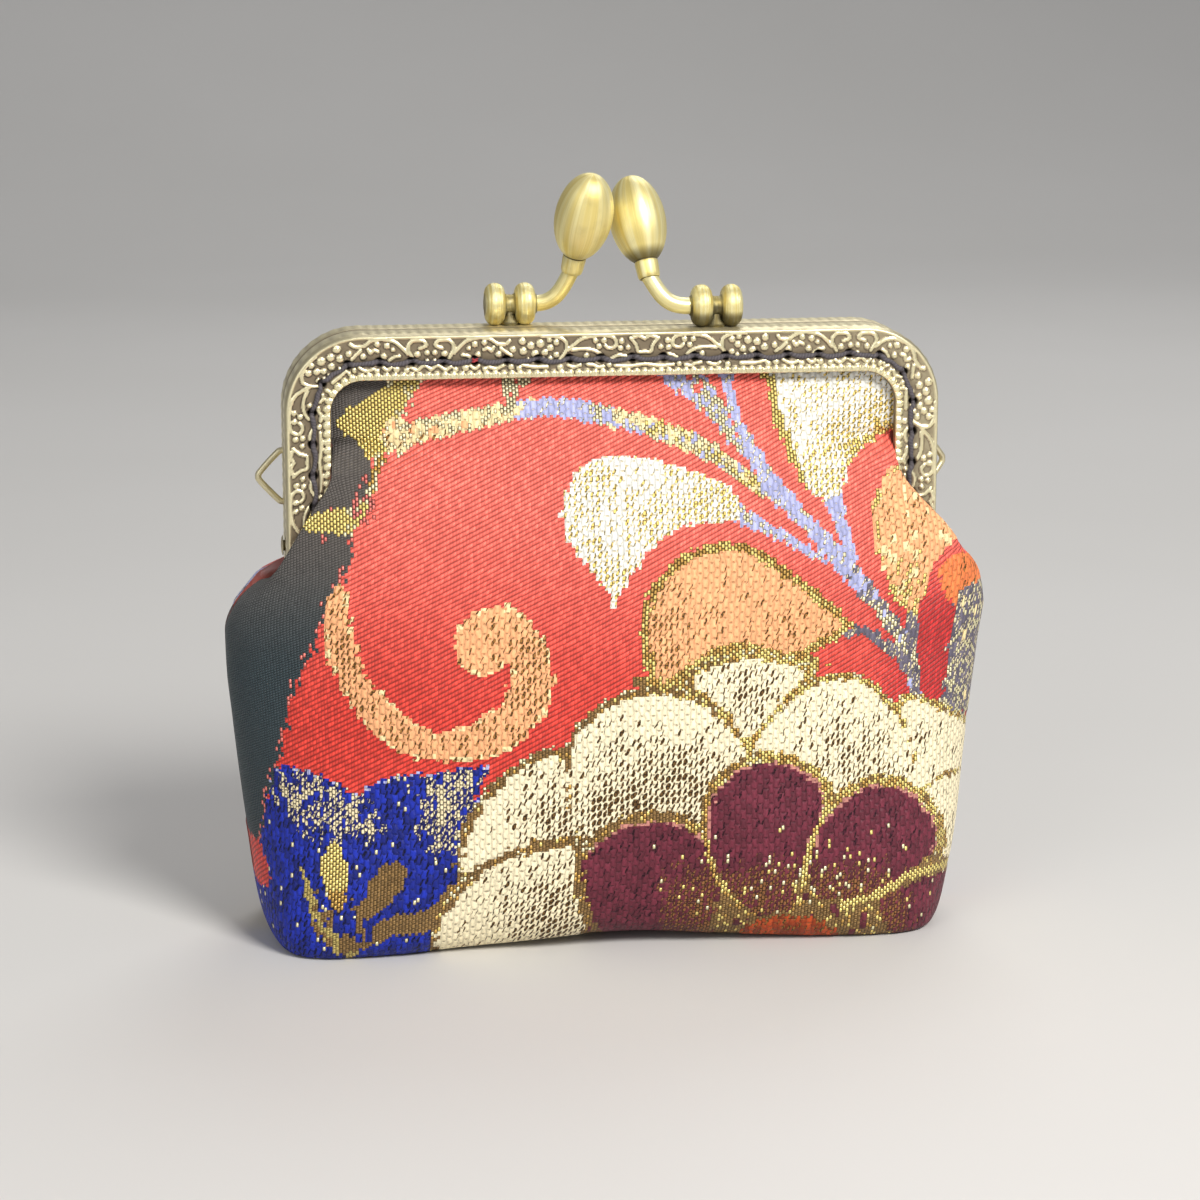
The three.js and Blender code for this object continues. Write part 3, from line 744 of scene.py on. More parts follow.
COBALT = [
    (280, 766), (320, 775), (350, 790), (359, 797), (367, 789), (395, 776), (440, 773), (487, 768),
    (476, 799), (463, 828), (459, 868), (436, 925), (440, 1000), (300, 1010), (150, 1000), (120, 900),
    (200, 886), (268, 886), (261, 840), (271, 788),
]
RED_SLIVER = [(250, 841), (262, 841), (266, 862), (270, 884), (220, 890), (160, 886), (160, 842)]
COBALT_DITHER = {
    "left": [(276, 780), (300, 776), (348, 792), (372, 820), (366, 832), (316, 830), (284, 800)],
    "right": [(420, 772), (480, 782), (463, 824), (456, 842), (434, 844), (420, 800)],
}
SPRIG_BRIGHT = [(334, 842), (346, 858), (347, 896), (337, 915), (323, 883), (320, 862)]
SPRIG_DULL = [(358, 922), (371, 881), (388, 864), (402, 862), (408, 875), (398, 896), (372, 920)]
SPRIG_STEM = [(302, 870, 4), (315, 910, 10), (333, 940, 15), (350, 950, 16)]
SPRIG_BAND = [(345, 948, 14), (394, 926, 19), (420, 923, 20), (438, 912, 16), (452, 890, 10)]
SCROLL = [
    (337, 584), (347, 590), (355, 640), (366, 673), (395, 705), (427, 729), (445, 731), (482, 718),
    (507, 695), (509, 664), (487, 678), (461, 665), (457, 634), (476, 611), (510, 606), (534, 626),
    (552, 660), (552, 698), (532, 731), (495, 756), (432, 761), (392, 747), (362, 720), (338, 683),
    (325, 642), (327, 604),
]

# Worn places, where floats let the layer below show: X, Y, radius and extra wear
WORN = {
    "white_drop": [
        (582, 490, 30, 0.5), (602, 466, 24, 0.4), (645, 512, 20, 0.5), (655, 536, 28, 0.5),
        (722, 500, 30, 0.8), (608, 580, 30, 0.7), (580, 538, 28, 0.5), (690, 505, 34, 0.45),
    ],
    "white_top": [
        (880, 410, 34, 0.6), (848, 446, 34, 0.7), (822, 480, 30, 0.9), (890, 424, 24, 0.6),
        (820, 390, 40, 0.2),
    ],
    "peach_drop": [(662, 645, 40, 0.6), (684, 676, 34, 0.5), (652, 604, 34, 0.5), (800, 630, 70, 0.35)],
    "peach_side": [(915, 575, 36, 0.4), (902, 600, 30, 0.4), (886, 510, 30, 0.3)],
    "scroll": [
        (338, 612, 34, 0.6), (350, 660, 36, 0.55), (372, 702, 44, 0.48), (440, 745, 54, 0.36),
        (538, 690, 46, 0.6), (545, 650, 34, 0.5), (515, 738, 36, 0.5), (500, 625, 40, 0.3),
    ],
    "middle": [
        (636, 806, 60, 0.85), (690, 790, 52, 0.8), (604, 818, 44, 0.6), (600, 740, 30, 0.25),
        (720, 760, 40, 0.3),
    ],
    "upper": [(752, 706, 36, 0.6), (730, 688, 30, 0.35), (772, 684, 40, 0.4)],
    "right": [(818, 728, 40, 0.3), (850, 750, 50, 0.4), (836, 780, 44, 0.4), (880, 770, 36, 0.4)],
    "far": [(930, 750, 36, 0.4)],
    "low_right": [(940, 830, 40, 0.3)],
    "left": [(560, 822, 40, 0.8), (538, 806, 40, 0.5)],
    "low_left": [(548, 900, 54, 0.6), (578, 916, 40, 0.7), (520, 920, 44, 0.5)],
}


class Drawing:
    """The thread and the wear of every cell, painted layer over layer."""

    def __init__(self, x, y, column, row):
        self.x, self.y = x, y
        self.column = column
        self.bead_row = np.floor(row * ROW / WEFT + column / 2)
        self.strand = np.floor((column + 0.5) / FLOAT_COLUMNS)
        spot = np.clip((self.strand[0] + 0.5) * FLOAT_COLUMNS - 0.5, 0, x.shape[1] - 1.001)
        left = spot.astype(int)
        share = spot - left
        self.strand_x = x[:, left] * (1 - share) + x[:, left + 1] * share
        self.strand_y = y[:, left] * (1 - share) + y[:, left + 1] * share
        self.stitch = np.floor(row * ROW / FLOAT_LENGTH + self.strand / 2)
        self.names = list(THREADS)
        self.thread = np.full(x.shape, self.names.index("red"))
        self.wear = np.zeros(x.shape)
        self.ragged = (chance(column, self.bead_row, 1) - 0.5) * 3.0
        self.uneven = (chance(self.strand, self.bead_row, 2) - 0.5) * 3.6

    def bead_chance(self, salt):
        return chance(self.column, self.bead_row, salt)

    def float_chance(self, salt):
        return chance(self.strand, self.stitch, salt)

    def shape(self, points):
        """Distances to an outline or a stroke, ragged by single cells."""
        return shape_distance(self.x, self.y, points) + self.ragged

    def float_shape(self, points):
        """As shape, but the same all across a strand."""
        return shape_distance(self.strand_x, self.strand_y, points) + self.uneven

    def paint(self, where, thread):
        self.thread[where] = self.names.index(thread)
        self.wear[where] = THREADS[thread][3]

    def cells(self, where, share, salt, thread):
        """Paints a share of the single cells."""
        self.paint(where & (self.bead_chance(salt) < share), thread)

    def floats(self, where, share, salt, thread):
        """Paints a share of the whole floats."""
        self.paint(where & (self.float_chance(salt) < share), thread)

    def rub(self, where, name):
        """Adds the wear of the worn places of one motif."""
        for x, y, radius, amount in WORN[name]:
            spot = amount * np.exp(-((self.x - x) ** 2 + (self.y - y) ** 2) / radius**2)
            self.wear += np.where(where, spot, 0.0)

    def fade(self, distance, reach):
        """True at places near an edge, more often close to it."""
        return self.bead_chance(5) < 0.55 * np.clip(1 - np.abs(distance) / reach, 0, 1)


def draw_ground(art):
    navy = np.minimum.reduce([art.shape(points) for points in (NAVY_TOP, NAVY_MIDDLE, NAVY_SIDE)])
    corner = ((art.x < 370) & (art.y < 500)) | ((art.x < 352) & (art.y < 540))
    art.paint((navy < 0) | corner, "navy")
    art.paint((navy < 0) & art.fade(navy, 8) & (art.y > 470), "pink")
    art.paint((navy > 0) & art.fade(navy, 5) & (art.y > 540), "navy")
    leaf = art.shape(GOLD_LEAF)
    art.paint(leaf < 0, "gold")
    art.paint((leaf < 9) & (art.x > 388) & art.fade(leaf, 10), "pale_gold")
    edge = art.shape(GOLD_EDGE) < 0
    art.paint(edge, "brown_gold")
    art.cells(edge, 0.6, 6, "pale_gold")
    patch = art.shape(GOLD_PATCH)
    art.paint(patch < 0, "gold")
    art.cells((patch < 0) & (art.x > 345), 0.45, 7, "pale_gold")
    art.cells((patch < 5) & (art.x > 350), 0.35, 8, "pink")
    art.paint(art.shape(RED_SLIVER) < 0, "red")


def draw_cobalt(art):
    sea = art.float_shape(COBALT)
    art.paint(sea < 0, "cobalt")
    art.cells(sea < 0, 0.02, 11, "pale_gold")
    for points in COBALT_DITHER.values():
        patch = np.maximum(art.shape(points) + 26 * (art.float_chance(17) - 0.6), sea)
        art.paint(patch < 0, "worn_cobalt")
        art.wear += np.where(patch < 0, 1.5 * ease(3, -7, patch), 0.0)
        art.floats(patch < 0, 0.12, 15, "cobalt")
    art.cells((sea < 0) & (sea > -1.6) & (art.y < 800) & (art.x > 268), 0.5, 13, "lavender")
    art.paint(art.shape(SPRIG_STEM) < 0, "ribbed_gold")
    art.paint(art.shape(SPRIG_BAND) < 0, "ribbed_brown")
    bright = art.shape(SPRIG_BRIGHT) < 0
    art.paint(bright, "gold")
    art.paint(bright & (art.y > 890), "brown_gold")
    art.paint(art.shape(SPRIG_DULL) < 0, "ribbed_brown")
    root = np.exp(-((art.x - 348) ** 2 / 26**2 + (art.y - 925) ** 2 / 20**2))
    art.floats(sea < 0, 0.5 * root, 14, "ribbed_brown")
    art.floats(sea < 0, 0.42 * root, 16, "cobalt")


def draw_stems(art):
    """Stems change from one thread to the next along their length, with cells of both where they meet."""
    side = art.shape(SIDE_STEM) < 0
    art.paint(side, "lavender")
    art.cells(side, ease(682, 712, art.x) * 0.75, 20, "pale_gold")
    art.floats(side, 0.12, 21, "red")
    upper = art.shape(UPPER_STEM) < 0
    art.paint(upper, "straw")
    art.floats(upper, ease(500, 400, art.x) * 0.4, 22, "peach")
    art.cells(upper & (art.x < 520), 0.3, 23, "pale_gold")
    lavender = ease(505, 530, art.x) * (0.96 - 0.6 * ease(590, 640, art.x) + 0.1 * ease(700, 740, art.x))
    art.floats(upper, lavender, 24, "lavender")
    art.cells(upper & (art.x > 590), 0.46, 25, "pale_gold")
    art.cells(upper & (art.x > 640), 0.25, 26, "gold")
    art.cells(art.shape(TWIG) < 0, 0.85, 27, "pale_gold")
    drop = art.shape(DROP_STEM) < 0
    art.paint(drop, "lavender")
    art.cells(drop, ease(780, 745, art.x) * 0.4, 28, "pale_gold")
    art.paint(art.shape(BRANCH) < 0, "lavender")
    main_stem = art.shape(MAIN_STEM)
    art.paint(main_stem < 0, "lavender")
    art.floats(main_stem < 0, ease(566, 606, art.y) * 0.9, 29, "slate")
    gilded = ease(590, 615, art.y) * ease(672, 650, art.y)
    art.cells(main_stem < 0, gilded * 0.55, 30, "pale_gold")
    art.cells((main_stem < 0) & (main_stem > -5) & (art.y < 560), 0.16, 31, "pale_gold")
    art.paint(art.shape(PEACH_STEM) < 0, "slate")
    art.paint(art.shape(POINT_STEM) < 0, "slate")


def draw_drops(art):
    white = art.float_shape(WHITE_DROP) < 0
    art.paint(white, "white")
    art.rub(white, "white_drop")
    top = art.float_shape(WHITE_TOP)
    art.paint(top < 0, "white")
    art.rub(top < 0, "white_top")
    border = (art.x < 812) & (art.x - 770 < 9 + 0.33 * np.maximum(0, art.y - 400) + art.ragged)
    art.paint((top < 0) & (top > -9) & border, "gold")
    art.cells((top < 0) & (top > -10) & (art.y > 405) & (art.x > 850), 0.7, 43, "gold")
    peach = art.float_shape(PEACH_DROP)
    art.paint(peach < 0, "gold")
    art.cells(peach < 0, 0.5, 45, "brown_gold")
    art.paint(peach < -9, "peach")
    art.rub(peach < -9, "peach_drop")
    side = art.float_shape(PEACH_SIDE)
    art.paint(side < 0, "peach")
    art.floats(side < 0, 0.12, 44, "straw")
    gilded = 0.3 * ease(545, 600, art.y) + 0.3 * (side > -5)
    art.cells((side < 0) & (art.x < 930), gilded, 49, "gold")
    art.rub(side < 0, "peach_side")
    art.paint(art.float_shape(ORANGE_SIDE) < 0, "orange")
    strip = art.float_shape(SLATE_SIDE) < 0
    art.paint(strip, "slate")
    art.cells(strip, 0.26, 46, "pale_gold")
    art.floats(strip, 0.08, 47, "straw")
    scroll = art.float_shape(SCROLL)
    art.paint(scroll < 0, "peach")
    art.floats((scroll < 0) & (scroll > -3.5), 0.4, 48, "straw")
    art.rub(scroll < 0, "scroll")


def draw_flower(art):
    creams = {name: art.float_shape(points) for name, points in CREAM_PETALS.items()}
    near = np.minimum.reduce(list(creams.values()))
    inside = np.minimum.reduce([art.float_shape(points) for points in PLUM_PETALS.values()])
    ground = art.shape(FLOWER_GROUND) < 0
    lit = ease(640, 780, art.x)
    fruit = art.float_shape(PEACH_DROP)
    sea = art.float_shape(COBALT)
    between = (near < 18) & ((np.minimum(inside, fruit) < 18) | ((sea < 18) & (sea > 0) & (art.y > 800)))
    rim = (near < 8) | (inside < 6.5) | (between & (fruit > 0)) | ground
    art.paint(rim, "ribbed_brown")
    art.cells(rim, 0.2 + 0.6 * lit, 50, "brown_gold")
    art.cells(rim, 0.05 + 0.5 * lit, 53, "gold")
    art.cells((near < 8) & (near > 5.4), 0.5, 61, "pale_gold")
    for name, distance in creams.items():
        petal = (distance < 0) & ~ground & (inside > 10)
        art.paint(petal, "cream")
        art.rub(petal, name)
    plum = inside < 0
    art.paint(plum, "plum")
    heart = ease(845, 915, art.y) * ease(640, 712, art.x) * ease(925, 870, art.x)
    threadbare = plum & (heart > 0.02 + 0.3 * art.float_chance(59))
    art.paint(threadbare, "worn_plum")
    art.wear += np.where(threadbare, 0.2 + 1.6 * heart, 0.0)
    base = ground & ~plum
    art.cells(base, 0.75, 57, "ribbed_brown")
    art.floats(base, 0.12, 58, "worn_plum")
    specks = np.exp(-((art.x - 800) ** 2 / 90**2 + (art.y - 880) ** 2 / 34**2))
    art.cells(plum | base, 0.16 * specks, 55, "gold")
    art.cells(plum | base, 0.08 * specks, 55, "pale_gold")
    art.paint(plum & (inside > -2.2) & (art.y < 850), "rose")
    for points in PLUM_LINES:
        line = art.shape(points) < 0
        art.paint(line, "brown_gold")
        art.cells(line, 0.2 + 0.5 * lit, 62, "gold")
    art.paint(art.shape(FLOWER_RIB) < 0, "gold")
    centre = art.shape(ORANGE_CENTRE)
    art.paint(centre < 3, "ribbed_brown")
    art.paint(centre < 0, "rust")


def draw_cloth(x, y, column, row):
    art = Drawing(x, y, column, row)
    draw_ground(art)
    draw_stems(art)
    draw_drops(art)
    draw_cobalt(art)
    draw_flower(art)
    return art


# Panels

FOLD_ROWS = 21
SECTION_POINTS = 361
LINING_ROWS = 46
LINING_COLUMNS = 33
# Where the drawing is laid open: the slope at which sides turn away, their spread and the base's height
STEEP = 2.2
SIDE_SPREAD = 0.7
BASE_HEIGHT = 0.6
BACK_SHIFT = (-130.0, 12.0)
LINING = (150, 74, 66)
# A thread's paler colour high on the cloth, a painted sheen where the upper cloth faces the light, and
# where the change starts and ends
PAINTED_SHEEN = {"red": ((238, 106, 92), 730, 480), "navy": ((106, 100, 95), 680, 520)}
# Painted shade: the red is darker low on the right side, where the cloth curves away from the light
SHADED_RED = (182, 42, 42)
CELL_CORNERS = np.array([(0, 0), (1, 0), (1, 1), (0, 1)], float)


def panel_grid(side):
    """Points of the woven side, one for each corner of a cell, and how far each row reaches."""
    _, total = section_values(np.array([0.0]))
    distances = np.append(np.arange(0.0, total, ROW), total)
    curves = section_curves(distances, side, False, SECTION_POINTS)
    steps = np.linalg.norm(np.diff(curves, axis=1), axis=2)
    run = np.concatenate([np.zeros((len(curves), 1)), np.cumsum(steps, axis=1)], axis=1)
    half = run[:, -1] / 2
    run = run - half[:, None]
    count = int(math.ceil(half.max() / COLUMN)) + 1
    places = np.arange(-count, count + 1) * COLUMN
    grid = np.empty((len(distances), len(places), 3))
    for i, curve in enumerate(curves):
        for k in range(3):
            grid[i, :, k] = np.interp(places, run[i], curve[:, k])
    # Softens the fold where the lapped sides pass into the seam
    window = np.hanning(FOLD_ROWS)
    rounded = np.apply_along_axis(np.convolve, 0, grid[..., 1], window / window.sum(), mode="same")
    folded = ease(39.0, 44.0, grid[..., 2]) * ease(55.0, 51.0, grid[..., 2])
    grid[..., 1] += (rounded - grid[..., 1]) * folded
    return distances, places, grid, half


def flat_cut(side):
    """The width, length and area, in metres, of a panel laid out flat."""
    distances, _, _, half = panel_grid(side)
    area = (half[1:] + half[:-1]) @ np.diff(distances)
    return (2 * half.max() * MM, distances[-1] * MM), area * MM**2


def drawing_points(distances, places, grid, side):
    """The panel laid open, so that the drawing goes on round its sides and under its base."""
    laid = grid.copy()
    middle = len(places) // 2

    def open_side(i, turn, beyond):
        laid[i, beyond, 0] = grid[i, turn, 0] + SIDE_SPREAD * (places[beyond] - places[turn])
        laid[i, beyond, 1] = grid[i, turn, 1]

    for i in range(len(distances)):
        dx, dy = np.abs(np.diff(grid[i, :, :2], axis=0)).T
        steep = (dy > STEEP * dx) & (dy + dx > 1e-6)
        right = np.nonzero(steep[middle:])[0] + middle
        left = np.nonzero(steep[:middle])[0] + 1
        if len(right):
            open_side(i, right[0], slice(right[0], None))
        if len(left):
            open_side(i, left[-1], slice(0, left[-1]))
    last = int(np.nonzero(grid[:, middle, 2] > BASE_HEIGHT)[0][-1])
    laid[last + 1 :, :, :2] = laid[last, :, :2]
    laid[last + 1 :, :, 2] = grid[last, middle, 2] - (distances[last + 1 :, None] - distances[last])
    if side > 0:
        laid[..., :2] *= -1
    return laid


def zipper(first, second, points):
    """Triangles between two closed rings of point numbers that start at the same corner."""
    def shares(ring):
        spots = points[np.array(ring + ring[:1])]
        run = np.concatenate([[0.0], np.cumsum(np.linalg.norm(np.diff(spots, axis=0), axis=1))])
        return run / run[-1]

    one, two = shares(first), shares(second)
    faces = []
    i = j = 0
    while i < len(first) or j < len(second):
        a, b = first[i % len(first)], second[j % len(second)]
        if j >= len(second) or (i < len(first) and one[i + 1] <= two[j + 1]):
            faces.append([a, first[(i + 1) % len(first)], b])
            i += 1
        else:
            faces.append([a, second[(j + 1) % len(second)], b])
            j += 1
    return faces


def ring_of(left, right, top, bottom):
    """Point numbers round a panel: along the top, down the right, back along the bottom and up the left."""
    return list(top) + list(right[1:]) + list(bottom[::-1][1:]) + list(left[::-1][1:-1])


def cell_middle(values):
    return (values[:-1, :-1] + values[1:, :-1] + values[:-1, 1:] + values[1:, 1:]) / 4


def panel_art(distances, places, grid, side):
    """The drawing on a panel's cells. The two cells of one bead take it from the same place."""
    row, column = np.mgrid[0 : grid.shape[0] - 1, 0 : grid.shape[1] - 1].astype(float)
    row += 0.5
    beat = row * ROW / WEFT + column / 2
    shift = (np.floor(beat) + 0.5 - beat) * WEFT

    def at_bead(values):
        fall = ((values[1:, :-1] + values[1:, 1:]) - (values[:-1, :-1] + values[:-1, 1:])) / (2 * ROW)
        return cell_middle(values) + shift * fall

    across, down = sketch(drawing_points(distances, places, settle(grid), side))
    if side > 0:
        across = across + BACK_SHIFT[0]
        down = down + BACK_SHIFT[1]
    art = draw_cloth(at_bead(across), at_bead(down), column, row)
    if side > 0:
        # The sliver that shows beside the front panel is navy
        x, y, z = (cell_middle(grid[..., k]) for k in range(3))
        art.paint((x < -45.0) & (y < 2.5) & (z > 15.0) & (z < 44.0), "navy")
    return art


def raise_threads(grid, art, side):
    """The settled grid, with each thread as far out as its kind stands."""
    lift = np.array([KINDS[THREADS[name][1]][1] for name in art.names])[art.thread]
    raised = cell_middle(np.pad(lift, 1, mode="edge"))
    normal = np.cross(np.gradient(grid, axis=1), np.gradient(grid, axis=0)) * -side
    length = np.linalg.norm(normal, axis=2, keepdims=True)
    normal = np.where(length > 1e-6, normal / np.maximum(length, 1e-9), [0.0, float(side), 0.0])
    outward = np.sign((normal * [0.3, 1.0, 0.0] * grid).sum(2, keepdims=True))
    normal = np.where(outward == 0, normal, normal * outward)
    # Threads lie flat inside the rail and flatter under the base
    free = ease(72.5, 69.5, grid[..., 2:3]) * ease(-0.5, 0.6, grid[..., 2:3])
    return settle(grid) + normal * raised[..., None] * free


def make_panel(name, side, material):
    distances, places, grid, half = panel_grid(side)
    art = panel_art(distances, places, grid, side)
    rows, columns = grid.shape[:2]
    # Columns past a row's end fold onto its last point
    number = np.arange(rows * columns).reshape(rows, columns)
    first = np.array([np.nonzero(places <= -h + 1e-9)[0][-1] for h in half])
    final = np.array([np.nonzero(places >= h - 1e-9)[0][0] for h in half])
    spot = np.clip(np.arange(columns)[None], first[:, None], final[:, None])
    number = np.take_along_axis(number, spot, axis=1)
    corners = np.stack([number[:-1, :-1], number[:-1, 1:], number[1:, 1:], number[1:, :-1]], axis=2)
    whole = (corners[..., 0] != corners[..., 1]) | (corners[..., 3] != corners[..., 2])
    cells = np.argwhere(whole)
    faces = [list(dict.fromkeys(corners[i, j].tolist())) for i, j in cells]

    lining = settle(section_curves(np.linspace(0, distances[-1], LINING_ROWS), side, True, LINING_COLUMNS))
    points = np.concatenate([raise_threads(grid, art, side).reshape(-1, 3), lining.reshape(-1, 3)])
    start = rows * columns
    inner = start + np.arange(LINING_ROWS * LINING_COLUMNS).reshape(LINING_ROWS, LINING_COLUMNS)
    every = np.arange(rows)
    top = number[0, first[0] : final[0] + 1]
    bottom = number[-1, first[-1] : final[-1] + 1]
    outer_ring = ring_of(number[every, first], number[every, final], top, bottom)
    inner_ring = ring_of(inner[:, 0], inner[:, -1], inner[0], inner[-1])
    faces += [[k + start for k in face] for face in grid_faces(LINING_ROWS, LINING_COLUMNS, flip=True)]
    faces += [face[::-1] for face in zipper(outer_ring, inner_ring, points)]
    if side < 0:
        faces = [face[::-1] for face in faces]
    used = np.unique(np.concatenate(faces))
    renumber = np.full(len(points), -1)
    renumber[used] = np.arange(len(used))
    panel = make_object(name, points[used], [renumber[face].tolist() for face in faces], material)
    weave_cells(panel, art, cells, side)
    return panel


def lay_flat(mesh, loops, is_woven, share):
    """A layout for baked maps: the woven side unrolled, and the lining in a narrow strip above it."""
    spots = np.empty(len(mesh.vertices) * 3)
    mesh.vertices.foreach_get("co", spots)
    spots = spots.reshape(-1, 3)[loops]
    low, high = spots.min(0), spots.max(0)
    spread = (spots - low) / (high - low)
    flat = np.empty((len(loops), 2))
    flat[:, 0] = 0.01 + 0.98 * np.where(is_woven, share[:, 0], spread[:, 0])
    flat[:, 1] = np.where(is_woven, 0.88 - 0.87 * share[:, 1], 0.9 + 0.09 * spread[:, 2])
    layout = mesh.uv_layers.new(name="OFBake")
    layout.data.foreach_set("uv", flat.astype(np.float32).ravel())


def weave_cells(panel, art, cells, side):
    """Writes each woven cell's thread, kind and place in the weave to the mesh."""
    mesh = panel.data
    total = len(mesh.polygons)
    woven = len(cells)

    def at_cells(values):
        return values[cells[:, 0], cells[:, 1]]

    thread, x, y = at_cells(art.thread), at_cells(art.x), at_cells(art.y)
    table = [THREADS[name] for name in art.names]
    shown = np.array([linear(row[0]) for row in table])[thread]
    kinds = np.array([KINDS[row[1]][0] for row in table], float)[thread]
    variety = np.array([row[2] for row in table])[thread]
    # Painted sheen: the red and navy are paler high on the cloth
    changes = [(name, pale, ease(low, high, y)) for name, (pale, low, high) in PAINTED_SHEEN.items()]
    # Painted shade: the red is darker low on the right side
    changes.append(("red", SHADED_RED, ease(850, 930, x) * ease(540, 620, y)))
    for name, goal, share in changes:
        share = share * (thread == art.names.index(name))
        shown = shown + (linear(goal) - shown) * share[:, None]
    tint = 0.95 + 0.1 * at_cells(art.bead_chance(90))
    tint += np.where(kinds[:, 0] > 0, 0.0, variety * (2 * at_cells(art.bead_chance(91)) - 1))
    over = np.tile([*linear(LINING), 0.0], (total, 1))
    under = over.copy()
    kind = np.zeros((total, 3))
    over[:woven, :3] = shown * tint[:, None]
    over[:woven, 3] = at_cells(art.wear)
    under[:woven, :3] = np.array([linear(row[4]) for row in table])[thread]
    under[:woven, 3] = variety
    kind[:woven] = kinds

    loops = np.empty(len(mesh.loops), int)
    mesh.loops.foreach_get("vertex_index", loops)
    sizes = np.empty(total, int)
    mesh.polygons.foreach_get("loop_total", sizes)
    owner = np.repeat(np.arange(total), sizes)
    turn = np.arange(len(loops)) - (np.cumsum(sizes) - sizes)[owner]
    if side < 0:
        turn = (sizes[owner] - 1 - turn) % 4
    is_woven = owner < woven
    cell = cells[owner[is_woven]]
    local = CELL_CORNERS[np.minimum(turn, 3)][is_woven]
    place = np.zeros((len(loops), 3))
    place[is_woven, 0] = cell[:, 1] + np.clip(local[:, 0], 0.001, 0.999)
    place[is_woven, 1] = (cell[:, 0] + local[:, 1]) * ROW
    lay_flat(mesh, loops, is_woven, place / [art.thread.shape[1], art.thread.shape[0] * ROW, 1.0])
    set_attribute(panel, "weave", "FLOAT_VECTOR", "CORNER", place)
    set_attribute(panel, "thread", "FLOAT_COLOR", "CORNER", over[owner])
    set_attribute(panel, "under", "FLOAT_COLOR", "CORNER", under[owner])
    set_attribute(panel, "kind", "FLOAT_VECTOR", "CORNER", kind[owner])


# The rail: arms, corners and bar, with its embossed band

RAIL_LINE = 2.0
RAIL_FRONT = 5.3
ARM_LENGTH = FRAME_TOP - FRAME_CORNER - ARM_END
CORNER_LENGTH = math.pi / 2 * (FRAME_CORNER - RAIL_LINE)
BAR_LENGTH = 2 * (FRAME_HALF - FRAME_CORNER)
RAIL_LENGTH = 2 * ARM_LENGTH + 2 * CORNER_LENGTH + BAR_LENGTH


def rail_places(run):
    """Points on the rail's outer edge, and the way inward, at distances along its embossed band."""
    side = np.where(run < RAIL_LENGTH / 2, -1.0, 1.0)
    from_end = np.minimum(run, RAIL_LENGTH - run)
    turn = np.pi / 2 * np.clip((from_end - ARM_LENGTH) / CORNER_LENGTH, 0, 1)
    up = np.minimum(from_end, ARM_LENGTH) - ARM_LENGTH
    inward = np.maximum(0, from_end - ARM_LENGTH - CORNER_LENGTH)
    x = side * (FRAME_HALF - FRAME_CORNER - inward + FRAME_CORNER * np.cos(turn))
    z = FRAME_TOP - FRAME_CORNER + up + FRAME_CORNER * np.sin(turn)
    return x, z, -side * np.cos(turn), -np.sin(turn)


# Half of the embossed repeat, in sketch units along the bar and down from the rim, mirrored at both ends
EMBOSS_FROM = 639.0
EMBOSS_SPAN = 212.0
EMBOSS_ALONG = 0.1293
EMBOSS_DOWN = 0.129
EMBOSS_TOP = 0.55
EMBOSS_MIDDLE = 3.6
SCROLLS = {
    "curl": [
        (438, 10), (433.6, 8.4), (431.4, 6.4), (433.6, 3.2), (438.6, 1.8), (445, 2.4), (449, 6.4),
        (449.4, 11.4), (447, 16), (445, 20),
    ],
    "arch": [
        (450, 15), (452, 12.6), (457, 7.2), (463, 3), (470, 1), (477, 0.4), (484, 1.4), (489, 4),
        (492.5, 7),
    ],
    "arch_curl": [(479, 12.4), (483, 10.8), (486.4, 13.6), (488.8, 10)],
    "foot": [(458, 17.2), (463, 18), (468, 21.4)],
    "half_cup": [(492, 6), (495.7, 7.2), (501.4, 6.8), (504.5, 3.8)],
    "leg": [(496, 11), (501.4, 15.4), (506.5, 19)],
    "bower": [
        (537, 0.4), (547, 0), (555.7, 2.2), (560.7, 6.4), (560.9, 13.6), (558, 19.4), (554, 24.4),
    ],
    "long_arch": [
        (562.5, 14), (568.6, 8.8), (575.7, 3.6), (585.7, 1), (597, 0.2), (605.7, 1.4), (610, 4.8),
        (610.7, 9.8), (607, 12.8), (602.8, 12.8), (600, 10.4),
    ],
    "under_arch": [(567, 14.2), (576, 13.2), (586, 14.2), (593, 17.4), (596, 20)],
    "low_bump": [(606, 23.6), (612, 20.6), (619, 21), (624, 23.4)],
    "cup": [(625, 3.4), (630.5, 10), (632.8, 17), (639, 17.2)],
    "cup_rim": [(628, 2.4), (634, 1.4), (639, 4.2)],
    "zigzag": [(427, 31), (434, 26.6), (441, 31.6), (446.5, 28.4)],
    "chevron": [(466, 28), (470, 31), (474, 28)],
    "swag": [(484, 29.4), (491, 31.4), (499, 27.6)],
    "bar": [(517, 28), (529, 30.2), (542, 30.2)],
    "wave": [(563, 29), (568, 31.2), (575, 29)],
    "wave_two": [(582, 28.6), (588, 29.4), (592, 31.6), (598, 31)],
    "wave_three": [(610, 30.4), (622, 31.4), (632, 30.2), (639, 29.2)],
}
